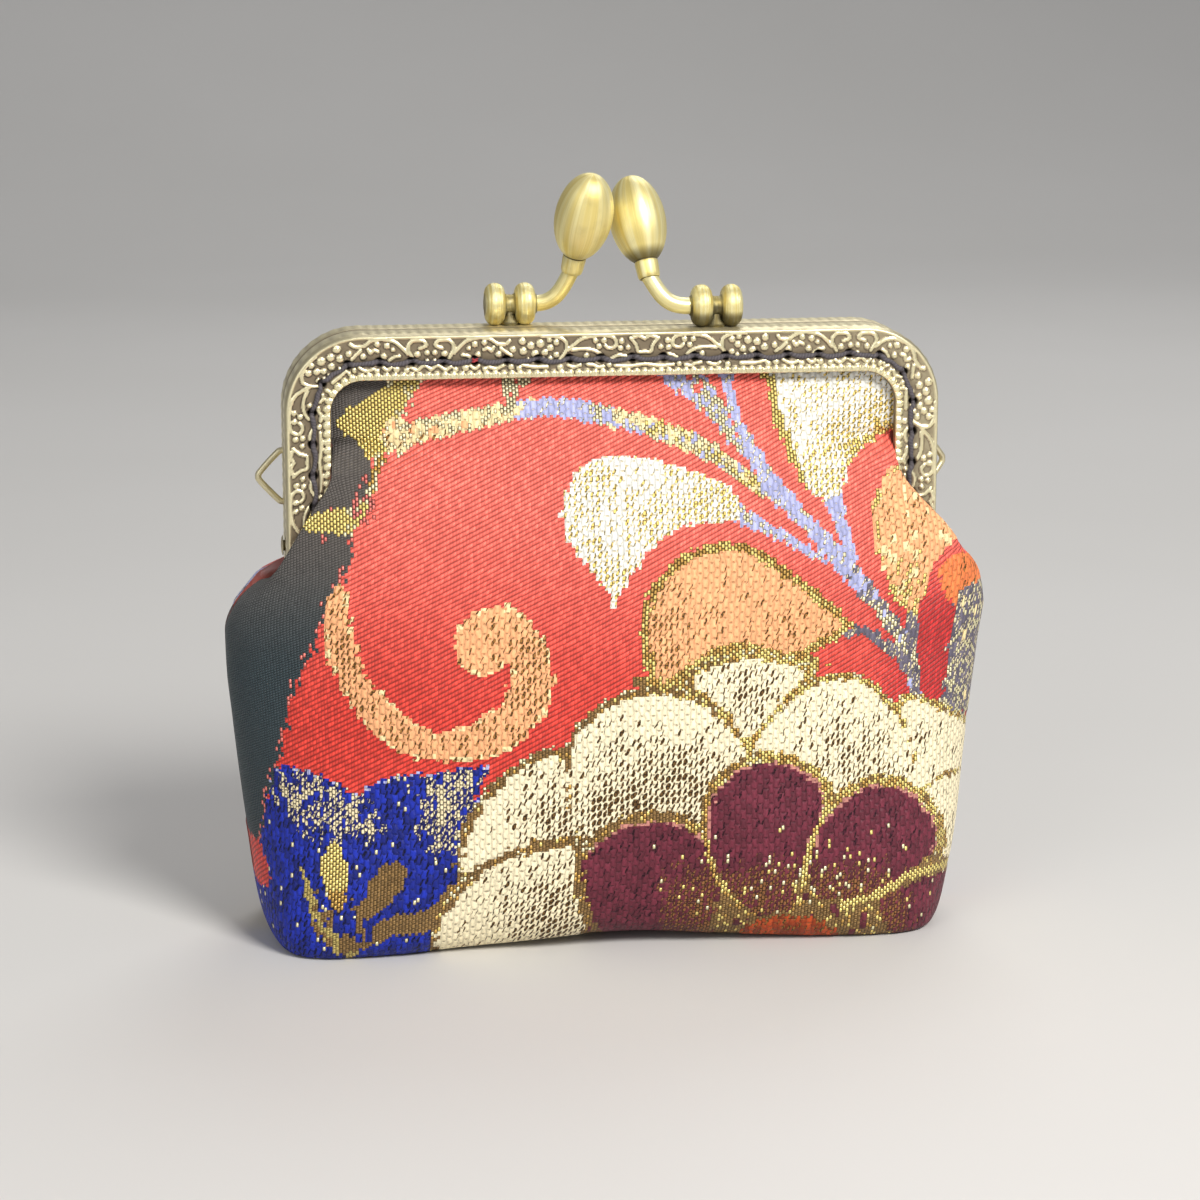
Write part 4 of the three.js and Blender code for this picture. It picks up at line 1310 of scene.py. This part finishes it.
DOTS = [
    (430.7, 14.4, 2.6), (440.4, 15.8, 3.0), (430.7, 22.4, 2.2), (470.3, 6.8, 3.0), (479.7, 5.2, 2.8),
    (473.3, 17.2, 3.0), (493.6, 17.2, 3.0), (464.3, 10.8, 2.2), (507.9, 12.6, 3.0), (517.4, 4.8, 3.4),
    (518.1, 14.6, 3.6), (525.7, 9.2, 3.6), (530, 17.4, 3.6), (535, 7.2, 3.8), (539.6, 16.2, 3.2),
    (545, 11.6, 3.2), (551, 6.4, 3.0), (551, 18.8, 3.0), (545.3, 22.2, 2.4), (537.9, 23.4, 2.6),
    (523, 23.4, 2.4), (544, 3.8, 2.6), (581, 20.2, 2.8), (593.6, 11, 2.8), (598.6, 5.2, 2.8),
    (590, 5.2, 2.6), (616, 6.2, 2.8), (615, 13.2, 2.8), (622.6, 12.6, 2.6), (451, 31.4, 2.8),
    (461, 30, 3.2), (480, 31.6, 2.6), (506, 29.6, 3.0), (514, 31.4, 2.8), (555, 31.2, 3.0),
    (604, 29.6, 2.6),
]
STITCH_INSET = 3.5
STITCH_PITCH = 4.05
BEAD_PITCH = 1.07
BEAD_INSET = 5.34
STROKE_HALF = 0.26
DOT_SIZE = 0.145


def rail_joints(inset):
    """Distances at which arm, corner, bar, corner and arm meet, along a line at an inset from the rim."""
    corner = math.pi / 2 * (FRAME_CORNER - inset)
    return np.cumsum([0.0, ARM_LENGTH, corner, BAR_LENGTH, corner, ARM_LENGTH])


def line_run(run, inset):
    """Distances along a line at an inset, from distances along the embossed band's line."""
    return np.interp(run, rail_joints(RAIL_LINE), rail_joints(inset))


def stitch_runs():
    """Distances of the sewing holes, along the embossed band's line."""
    joints = rail_joints(STITCH_INSET)
    total = joints[-1]
    count = int((total - 14) // STITCH_PITCH) + 1
    true = (total - (count - 1) * STITCH_PITCH) / 2 + STITCH_PITCH * np.arange(count)
    return np.interp(true, joints, rail_joints(RAIL_LINE))


STROKE_HEIGHT = 0.26
DOT_HEIGHT = 0.3
BEAD_RADIUS = 0.53
BEAD_HEIGHT = 0.4
LIP_HEIGHT = 0.2
RIM_HEIGHT = 0.26
GROOVE_DEPTH = 0.1
GROOVE_HALF = 0.5
HOLE_DEPTH = 0.8
NEAR = 1.4
FAR = 9.0


def emboss(run, inset):
    """Height of the embossed face over its ground, and how bright it is: worn bright where raised, with
    painted light towards the right end.
    """
    middle = ARM_LENGTH + CORNER_LENGTH + BAR_LENGTH / 2 + EMBOSS_MIDDLE
    span = EMBOSS_SPAN * EMBOSS_ALONG
    folded = np.abs((run - middle + span) % (2 * span) - span)
    height = np.zeros(run.shape)
    clear = np.full(run.shape, FAR)

    def spot(x, y):
        return (EMBOSS_FROM - x) * EMBOSS_ALONG, EMBOSS_TOP + y * EMBOSS_DOWN

    def near_to(along, down):
        return (np.abs(folded - along) < NEAR) & (np.abs(inset - down) < NEAR)

    def raise_round(near, distance, size, tall):
        dome = tall * np.sqrt(np.clip(1 - (distance / size) ** 2, 0, 1))
        height[near] = np.maximum(height[near], dome)
        clear[near] = np.minimum(clear[near], distance - size)

    for points in SCROLLS.values():
        line = smooth_line([spot(*point) for point in points])
        for start, end in zip(line, line[1:]):
            near = near_to(*start)
            distance, _ = segment_distance(folded[near], inset[near], start, end)
            raise_round(near, distance, STROKE_HALF, STROKE_HEIGHT)
    for x, y, radius in DOTS:
        along, down = spot(x, y)
        near = near_to(along, down)
        distance = np.hypot(folded[near] - along, inset[near] - down)
        raise_round(near, distance, radius * DOT_SIZE, DOT_HEIGHT)
    # A row of beads, drawn out to the inner edge, then the lip there and the rim
    row = (inset > 4.8) & (inset < 5.9)
    beat = ((line_run(run, BEAD_INSET) / BEAD_PITCH) % 1 - 0.5) * BEAD_PITCH
    bead = np.hypot(beat, np.maximum(0, BEAD_INSET - inset))
    raise_round(row, bead[row], BEAD_RADIUS, BEAD_HEIGHT)
    height = np.maximum(height, LIP_HEIGHT * ease(5.58, 5.66, inset))
    height = np.maximum(height, RIM_HEIGHT * np.exp(-(((inset - 0.4) / 0.2) ** 2)))
    # Sewing holes in a shallow groove
    holes = np.full(run.shape, FAR)
    for hole in stitch_runs():
        holes = np.minimum(holes, np.hypot(run - hole, inset - STITCH_INSET))
    sunk = ease(0.66, 0.42, holes)
    groove = GROOVE_DEPTH * np.exp(-(((inset - STITCH_INSET) / GROOVE_HALF) ** 2))
    # Bright on top, dark at the foot of what is raised, and paler towards the right end: painted light,
    # where light from the right washes the rail
    pale = ease(0.5, 0.85, run / RAIL_LENGTH)
    ground = 0.36 + 0.15 * pale
    rubbed_and_lit = ground + (1 - ground) * np.clip(height / 0.22, 0, 1)
    foot = np.exp(-((np.clip(clear, 0, None) / 0.11) ** 2)) * (height < 0.06)
    rubbed_and_lit = np.maximum(rubbed_and_lit - (0.42 - 0.2 * pale) * foot, 0.0)
    rubbed_and_lit = rubbed_and_lit * (1 - sunk) - groove - 0.4 * sunk
    return height * (1 - sunk) - groove - HOLE_DEPTH * sunk, rubbed_and_lit


def end_caps(rings, sides):
    """The faces that close both ends of a tube of rings."""
    last = (rings - 1) * sides
    return [list(range(sides))[::-1], [last + k for k in range(sides)]]


def tube(path, radius, sides):
    """Points, faces and lengthwise coordinates of a round tube along a path."""
    path = np.asarray(path, float)
    radius = np.broadcast_to(np.asarray(radius, float), len(path))
    along = np.gradient(path, axis=0)
    along /= np.linalg.norm(along, axis=1, keepdims=True)
    helper = [0.0, 0.0, 1.0] if abs(along[0][2]) < 0.9 else [1.0, 0.0, 0.0]
    side = np.cross(along[0], helper)
    turn = 2 * np.pi * np.arange(sides) / sides
    rings = []
    for point, way, size in zip(path, along, radius):
        side = side - way * (side @ way)
        side /= np.linalg.norm(side)
        other = np.cross(way, side)
        rings.append(point + size * (np.cos(turn)[:, None] * side + np.sin(turn)[:, None] * other))
    faces = grid_faces(len(path), sides, wrap=True, flip=True) + end_caps(len(path), sides)
    run = np.concatenate([[0.0], np.cumsum(np.linalg.norm(np.diff(path, axis=0), axis=1))])
    brush = np.zeros((len(path) * sides, 3))
    brush[:, 0] = np.tile(np.arange(sides) / sides, len(path))
    brush[:, 2] = np.repeat(run, sides)
    return np.concatenate(rings), faces, brush


def lathe(profile, axis_start, axis, sides):
    """A turned surface: profile rows are distance along the axis and radius."""
    axis = np.asarray(axis, float) / np.linalg.norm(axis)
    helper = [0.0, 1.0, 0.0] if abs(axis[1]) < 0.9 else [1.0, 0.0, 0.0]
    first = np.cross(axis, helper)
    first /= np.linalg.norm(first)
    second = np.cross(axis, first)
    turn = 2 * np.pi * np.arange(sides) / sides
    around = np.cos(turn)[:, None] * first + np.sin(turn)[:, None] * second
    vertices = []
    brush = []
    for along, radius in profile:
        vertices.append(np.asarray(axis_start) + axis * along + radius * around)
        brush.append(np.stack([np.cos(turn), np.sin(turn), np.full(sides, along)], axis=1))
    faces = grid_faces(len(profile), sides, wrap=True) + end_caps(len(profile), sides)
    return np.concatenate(vertices), faces, np.concatenate(brush)


def box_points(x0, x1, y0, y1, z0, z1):
    vertices = [(x, y, z) for x in (x0, x1) for y in (y0, y1) for z in (z0, z1)]
    faces = [[0, 1, 3, 2], [4, 6, 7, 5], [0, 4, 5, 1], [2, 3, 7, 6], [0, 2, 6, 4], [1, 5, 7, 3]]
    return vertices, faces


# The rail's section, as distances in from the rim and out from the middle plane
RAIL_RIM = [(0.0, 0.55), (0.0, 2.0), (0.0, 3.4), (0.0, 4.4), (0.04, 4.75), (0.12, 5.02), (0.2, 5.16)]
RAIL_FACE = [(inset, RAIL_FRONT) for inset in np.arange(0.3, 5.8, 0.14)]
RAIL_CHANNEL = [
    (5.84, 5.22), (5.9, 5.0), (5.9, 4.45), (5.8, 4.4), (3.4, 4.4), (0.9, 4.4), (0.9, 0.95), (4.2, 0.95),
    (4.2, 0.15), (0.35, 0.15), (0.1, 0.28),
]
RIM_DASH = 1.3
RAIL_STEPS = 900
HINGE_Z = ARM_END + 2.4
EAR = [(0, 1.95), (0.08, 2.08), (0.4, 2.1), (0.72, 2.08), (0.8, 1.95)]
EAR_THICK = 0.8
EAR_HALF = 2.05
BACK_EAR_IN = 1.1
FRONT_EAR_REACH = 1.6
BACK_EAR_REACH = 4.8


def make_rail(name, side, material):
    pieces = Pieces()
    profile = np.array(RAIL_RIM + RAIL_FACE + RAIL_CHANNEL)
    face = slice(len(RAIL_RIM), len(RAIL_RIM) + len(RAIL_FACE))
    run = np.linspace(0, RAIL_LENGTH, RAIL_STEPS)
    x, z, in_x, in_z = (part[:, None] for part in rail_places(run))
    inset = np.broadcast_to(profile[:, 0], (len(run), len(profile)))
    depth = np.broadcast_to(profile[:, 1], inset.shape).copy()
    rubbed_and_lit = np.full(inset.shape, 0.62)
    spread = np.broadcast_to(run[:, None], (len(run), len(RAIL_FACE)))
    height, rubbed_and_lit[:, face] = emboss(spread, inset[:, face])
    depth[:, face] += height
    dash = 0.5 + 0.5 * np.sin(2 * np.pi * run / RIM_DASH)[:, None]
    outward = np.zeros(inset.shape)
    outward[:, 1:4] = 0.06 * dash
    rubbed_and_lit[:, 1:4] += 0.2 * dash
    rubbed_and_lit[:, face.stop :] = 0.35
    points = np.stack([x + in_x * (inset - outward), side * depth, z + in_z * (inset - outward)], axis=2)
    faces = grid_faces(len(run), len(profile), wrap=True, flip=side > 0)
    caps = end_caps(len(run), len(profile))
    faces += [cap[::-1] for cap in caps] if side > 0 else caps
    pieces.add(points, faces, rubbed_and_lit.ravel())
    # Hinge ears at the ends of the arms
    for hand in (-1, 1):
        outer = hand * (FRAME_HALF if side < 0 else FRAME_HALF - BACK_EAR_IN)
        inner = outer - hand * EAR_THICK
        vertices, faces, _ = lathe(EAR, (min(outer, inner), 0.0, HINGE_Z), (1, 0, 0), 28)
        pieces.add(vertices, faces, 0.5)
        reach = side * (FRONT_EAR_REACH if side < 0 else BACK_EAR_REACH)
        pieces.add(*box_points(outer, inner, 0.0, reach, HINGE_Z - EAR_HALF, HINGE_Z + EAR_HALF), 0.45)
    return pieces.finish(name, material)


THREAD_RADIUS = 0.32
THREAD_SAG = 0.26
THREAD_DIP = 0.72


def make_thread(name, side, material):
    """One sewing thread that dips through each hole of a rail and lies a little lower between them."""
    holes = stitch_runs()
    run = np.linspace(holes[0] - 0.6, holes[-1] + 0.6, 700)
    nearest = np.abs(run[:, None] - holes[None]).min(1)
    x, z, in_x, in_z = rail_places(run)
    between = ease(0.3, 1.2, nearest)
    inset = STITCH_INSET + THREAD_SAG * between + 0.08 * np.sin(run * 0.9) + 0.04 * np.sin(run * 3.1 + 1.0)
    y = RAIL_FRONT + 0.02 - THREAD_DIP * ease(0.75, 0.15, nearest)
    path = np.stack([x + in_x * inset, side * y, z + in_z * inset], axis=1)
    vertices, faces, brush = tube(path, THREAD_RADIUS + 0.04 * np.sin(run * 1.7), 10)
    made = make_object(name, vertices, faces, material)
    set_attribute(made, "brush", "FLOAT_VECTOR", "POINT", brush)


LINT_HOLE = 9
LINT_WISPS = 5
LINT_RADIUS = 0.07


def make_lint(name, material):
    """Wisps of the red cloth caught in a hole of the front rail."""
    pieces = Pieces()
    x, z, _, in_z = rail_places(stitch_runs()[LINT_HOLE : LINT_HOLE + 1])
    share = np.linspace(0, 1, 9)
    for k in range(LINT_WISPS):
        bend = 0.5 * np.sin(share * 3.0 + k * 1.3)
        inset = STITCH_INSET - 0.25 + 0.3 * bend * math.cos(k) + 0.1 * k
        along = x + (share - 0.5) * 0.8 + 0.12 * np.cos(k * 2.1 + share * 4)
        front = RAIL_FRONT - 0.1 + 0.22 * np.sin(share * np.pi)
        vertices, faces, _ = tube(np.stack([along, -front, z + in_z * inset], axis=1), LINT_RADIUS, 6)
        pieces.add(vertices, faces, 0.5)
    pieces.finish(name, material)


# Clasp, loops and rivets

CLASP_Y = 2.7
CLASP_Z = 81.9
RINGS = (-14.8, -10.9)
RING_SHIFT = {"left": 0.0, "right": -0.5}
# How much darker each spool gets towards its lower side
LOWER_DARKENING = {"left": 0.1, "right": 0.65}
BEND = np.array([-6.9, CLASP_Y, CLASP_Z])
KNOB = np.array([-3.7, -1.45, 93.5])
KNOB_HALF = 5.95
KNOB_TILT = {"left": 10.0, "right": 9.0}
ROD_RADIUS = 1.06
KNOB_RADIUS = 3.72
COLLAR_LENGTH = 2.4
COLLAR_TOP = 1.45
KNOB_BASE = {"left": 0.35, "right": 0.12}
KNOB_RISE = {"left": -0.1, "right": -0.9}
KNOB_SCALE = {"left": (1.0, 1.0), "right": (1.0, 0.98)}


def knob_line(hand):
    """A knob's centre and the way up its axis. The two halves aren't bent quite alike."""
    centre = KNOB + [0.0, 0.0, KNOB_RISE[hand]]
    way = centre - BEND
    way[0] = way[2] * math.tan(math.radians(KNOB_TILT[hand]))
    return centre, way / np.linalg.norm(way)


def half_turn(points, hand):
    points = np.asarray(points, float)
    return points * [-1.0, -1.0, 1.0] if hand == "right" else points


def knob_size(hand):
    """A knob's half length, its radius and the distance from its centre down to the collar."""
    half = KNOB_HALF * KNOB_SCALE[hand][0]
    radius = KNOB_RADIUS * KNOB_SCALE[hand][1]
    return half, radius, half * math.sqrt(1 - (COLLAR_TOP / radius) ** 2)


PEG = [(77.4, 0.6), (79.0, 0.7), (79.2, 1.35), (79.7, 1.3), (80.4, 0.7), (CLASP_Z, 0.7)]
RING_HALF = 1.3
RING_NECK = 1.25
RING_RISE = 1.5
SPOOL_SIDES = 56
ROD_SIDES = 32
PEG_SIDES = 24
KNOB_SIDES = 72


def make_clasp_arm(name, hand, material):
    pieces = Pieces()
    # Twin rings, with streaks that run round them
    rings = [centre + RING_SHIFT[hand] for centre in RINGS]
    profile = [(rings[0] - 1.42, 0.02), (rings[0] - 1.41, 0.8)]
    swing = np.linspace(0.04, np.pi - 0.04, 22)
    for centre in rings:
        radii = RING_NECK + RING_RISE * np.sin(swing) ** 0.72
        profile += list(zip(centre - RING_HALF * np.cos(swing), radii))
        if centre == rings[0]:
            profile += [(centre + 1.62, 1.22), (centre + 2.28, 1.22)]
    profile += [(rings[1] + 1.55, 1.2), (rings[1] + 1.56, 0.02)]
    vertices, faces, brush = lathe(profile, (0, CLASP_Y, CLASP_Z), (1, 0, 0), SPOOL_SIDES)
    relief = np.repeat([0.75 if radius > 1.5 else 0.25 for _, radius in profile], SPOOL_SIDES)
    # The spools are darker towards their lower side
    relief = relief - LOWER_DARKENING[hand] * ease(CLASP_Z + 0.6, CLASP_Z - 1.6, vertices[:, 2])
    pieces.add(half_turn(vertices, hand), faces, relief, brush[:, [2, 0, 1]] * [1.6, 0.3, 0.3])
    # Bent rod
    centre, way = knob_line(hand)
    _, _, foot = knob_size(hand)
    end = centre - way * (foot + COLLAR_LENGTH - 0.3)
    bend_start = BEND - [2.9, 0, 0]
    near_end = BEND + 0.35 * (end - BEND)
    share = np.linspace(0, 1, 21)[:, None]
    rest = 1 - share
    curve = bend_start * rest**3 + 3 * BEND * rest**2 * share
    curve += 3 * near_end * rest * share**2 + end * share**3
    line = np.concatenate([[[rings[1], CLASP_Y, CLASP_Z]], curve])
    vertices, faces, brush = tube(line, ROD_RADIUS, ROD_SIDES)
    pieces.add(half_turn(vertices, hand), faces, 0.62, brush)
    vertices, faces, brush = lathe(PEG, (sum(rings) / 2, CLASP_Y, 0), (0, 0, 1), PEG_SIDES)
    pieces.add(half_turn(vertices, hand), faces, 0.0, brush)
    return pieces.finish(name, material)


def make_knob(name, hand, material):
    centre, way = knob_line(hand)
    half, radius, foot = knob_size(hand)
    low = -foot - COLLAR_LENGTH
    profile = [
        (low + 0.6, 1.0), (low, 1.02), (low + 0.02, 1.24), (low + 0.12, 1.36), (low + 0.5, 1.44),
        (low + 1.2, 1.48), (-foot - 0.5, 1.52), (-foot - 0.16, 1.52), (-foot - 0.06, 1.46),
        (-foot - 0.02, 1.38), (-foot + 0.06, 1.42),
    ]
    start = math.asin(foot / half)
    for turn in np.linspace(-start + 0.05, math.pi / 2 - 0.015, 44):
        profile.append((half * math.sin(turn), radius * math.cos(turn)))
    along = np.array([row[0] for row in profile])
    relief = KNOB_BASE[hand] + (0.85 - KNOB_BASE[hand]) * ease(-foot, -foot + 3.4, along)
    # The collar's hidden end, its side and the groove over it
    relief[0:3] = 0.15
    relief[3:8] = 0.7
    relief[8:11] = 0.08
    vertices, faces, brush = lathe(profile, centre, way, KNOB_SIDES)
    pieces = Pieces()
    pieces.add(half_turn(vertices, hand), faces, np.repeat(relief, KNOB_SIDES), brush)
    return pieces.finish(name, material)


RIVET = [
    (-2.7, 0.02), (-2.7, 1.2), (-2.55, 1.35), (-2.2, 1.35), (-2.2, 0.7), (0.0, 0.7), (0.3, 0.7), (0.3, 1.3),
    (0.36, 1.35),
]
RIVET_RADIUS = 1.35
RIVET_DOME = 0.28


def make_rivet(name, hand, material):
    profile = list(RIVET)
    for turn in np.linspace(0.15, math.pi / 2 - 0.02, 10):
        profile.append((0.3 + RIVET_DOME * math.sin(turn), RIVET_RADIUS * math.cos(turn)))
    vertices, faces, _ = lathe(profile, (hand * FRAME_HALF, 0, HINGE_Z), (hand, 0, 0), 36)
    pieces = Pieces()
    pieces.add(vertices, faces, 0.6)
    return pieces.finish(name, material)


FOOT_X = 42.3
LOOP_Y = 2.7
LOOP_WIRE = 0.42
LOOP_SWING = {-1: 0.0, 1: 24.0}


def make_loop(name, hand, material):
    upper, lower, tip, outer, root = 63.4, 56.7, 45.7, 43.1, 40.6
    middle = (upper + lower) / 2
    corners = [
        (root, upper), (outer - 0.5, upper), (outer + 0.25, upper - 0.45), (tip - 0.35, middle + 0.75),
        (tip, middle), (tip - 0.35, middle - 0.75), (outer + 0.25, lower + 0.45), (outer - 0.5, lower),
        (root, lower),
    ]
    swing = math.radians(LOOP_SWING[hand])
    x, z = np.array(corners).T
    swung = hand * (FOOT_X + (x - FOOT_X) * math.cos(swing))
    places = np.stack([swung, LOOP_Y + (x - FOOT_X) * math.sin(swing), z], axis=1)
    vertices, faces, _ = tube(smooth_line(places, steps=10), LOOP_WIRE, 16)
    pieces = Pieces()
    pieces.add(vertices, faces, 0.7)
    return pieces.finish(name, material)


# Stage, in metres

BACKDROP_FRONT = -1.6
BACKDROP_BEND = 0.75
BACKDROP_RADIUS = 0.6
BACKDROP_TOP = 2.2
BACKDROP_HALF = 2.4
FLOOR_GAP = 0.0002


def make_stage():
    """A pale paper sweep: floor, a round bend and the wall behind."""
    graph = Graph("pale_floor")
    mottle = graph.noise(graph.place(), 6.0, 3.0)
    paper = graph.surface(Base_Color=graph.mix(mottle, (206, 204, 200), (214, 212, 209)), Roughness=0.85)
    outline = [(BACKDROP_FRONT, 0.0)]
    for angle in np.linspace(0, math.pi / 2, 17):
        along = BACKDROP_BEND + BACKDROP_RADIUS * math.sin(angle)
        outline.append((along, BACKDROP_RADIUS * (1 - math.cos(angle))))
    outline.append((BACKDROP_BEND + BACKDROP_RADIUS, BACKDROP_TOP))
    vertices = [(x, y, z) for y, z in outline for x in (-BACKDROP_HALF, BACKDROP_HALF)]
    floor = make_mesh("floor", vertices, grid_faces(len(outline), 2, flip=True), paper)
    floor.location.z = -FLOOR_GAP


def add_light(name, place, target, size, power, colour=(1.0, 1.0, 1.0)):
    data = bpy.data.lights.new(name, "AREA")
    data.shape = "DISK"
    data.size = size
    data.energy = power
    data.color = colour
    aim(add_object(name, data), place, target)


def make_light():
    world = bpy.data.worlds.new("studio")
    world.use_nodes = True
    background = world.node_tree.nodes["Background"]
    background.inputs["Color"].default_value = (0.93, 0.95, 1.0, 1.0)
    background.inputs["Strength"].default_value = 0.3
    bpy.context.scene.world = world
    add_light("key", (0.24, -0.5, 0.52), (0, 0, 0.06), 0.28, 5.2, (1.0, 0.98, 0.95))
    add_light("fill", (-0.7, -0.8, 0.5), (0, 0, 0.05), 0.7, 2.4)
    add_light("back", (0.25, 0.6, 0.75), (0, 0, 0.06), 0.5, 2.4)
    bpy.context.scene.view_settings.view_transform = "Standard"


def main():
    make_camera()
    brocade = brocade_material()
    brass = brass_material()
    gilt = gilt_material()
    thread = thread_material()
    for name, side in (("front", -1), ("back", 1)):
        panel = make_panel("cloth_" + name, side, brocade)
        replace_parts(panel, "panel_" + name)
        cut, area = flat_cut(side)
    for name, side in (("front", -1), ("back", 1)):
        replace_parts(make_rail("rail_" + name, side, brass), "frame_" + name)
        make_thread("thread_" + name, side, thread)
    make_lint("lint", lint_material())
    for name, hand in (("left", -1), ("right", 1)):
        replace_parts(make_clasp_arm("clasp_" + name, name, gilt), "clasp_arm_" + name)
        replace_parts(make_knob("knob_" + name, name, gilt), "clasp_knob_" + name)
        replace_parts(make_rivet("rivet_" + name, hand, brass), "hinge_rivet_" + name)
        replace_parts(make_loop("loop_" + name, hand, brass), "side_loop_" + name)
    make_stage()
    make_light()


main()
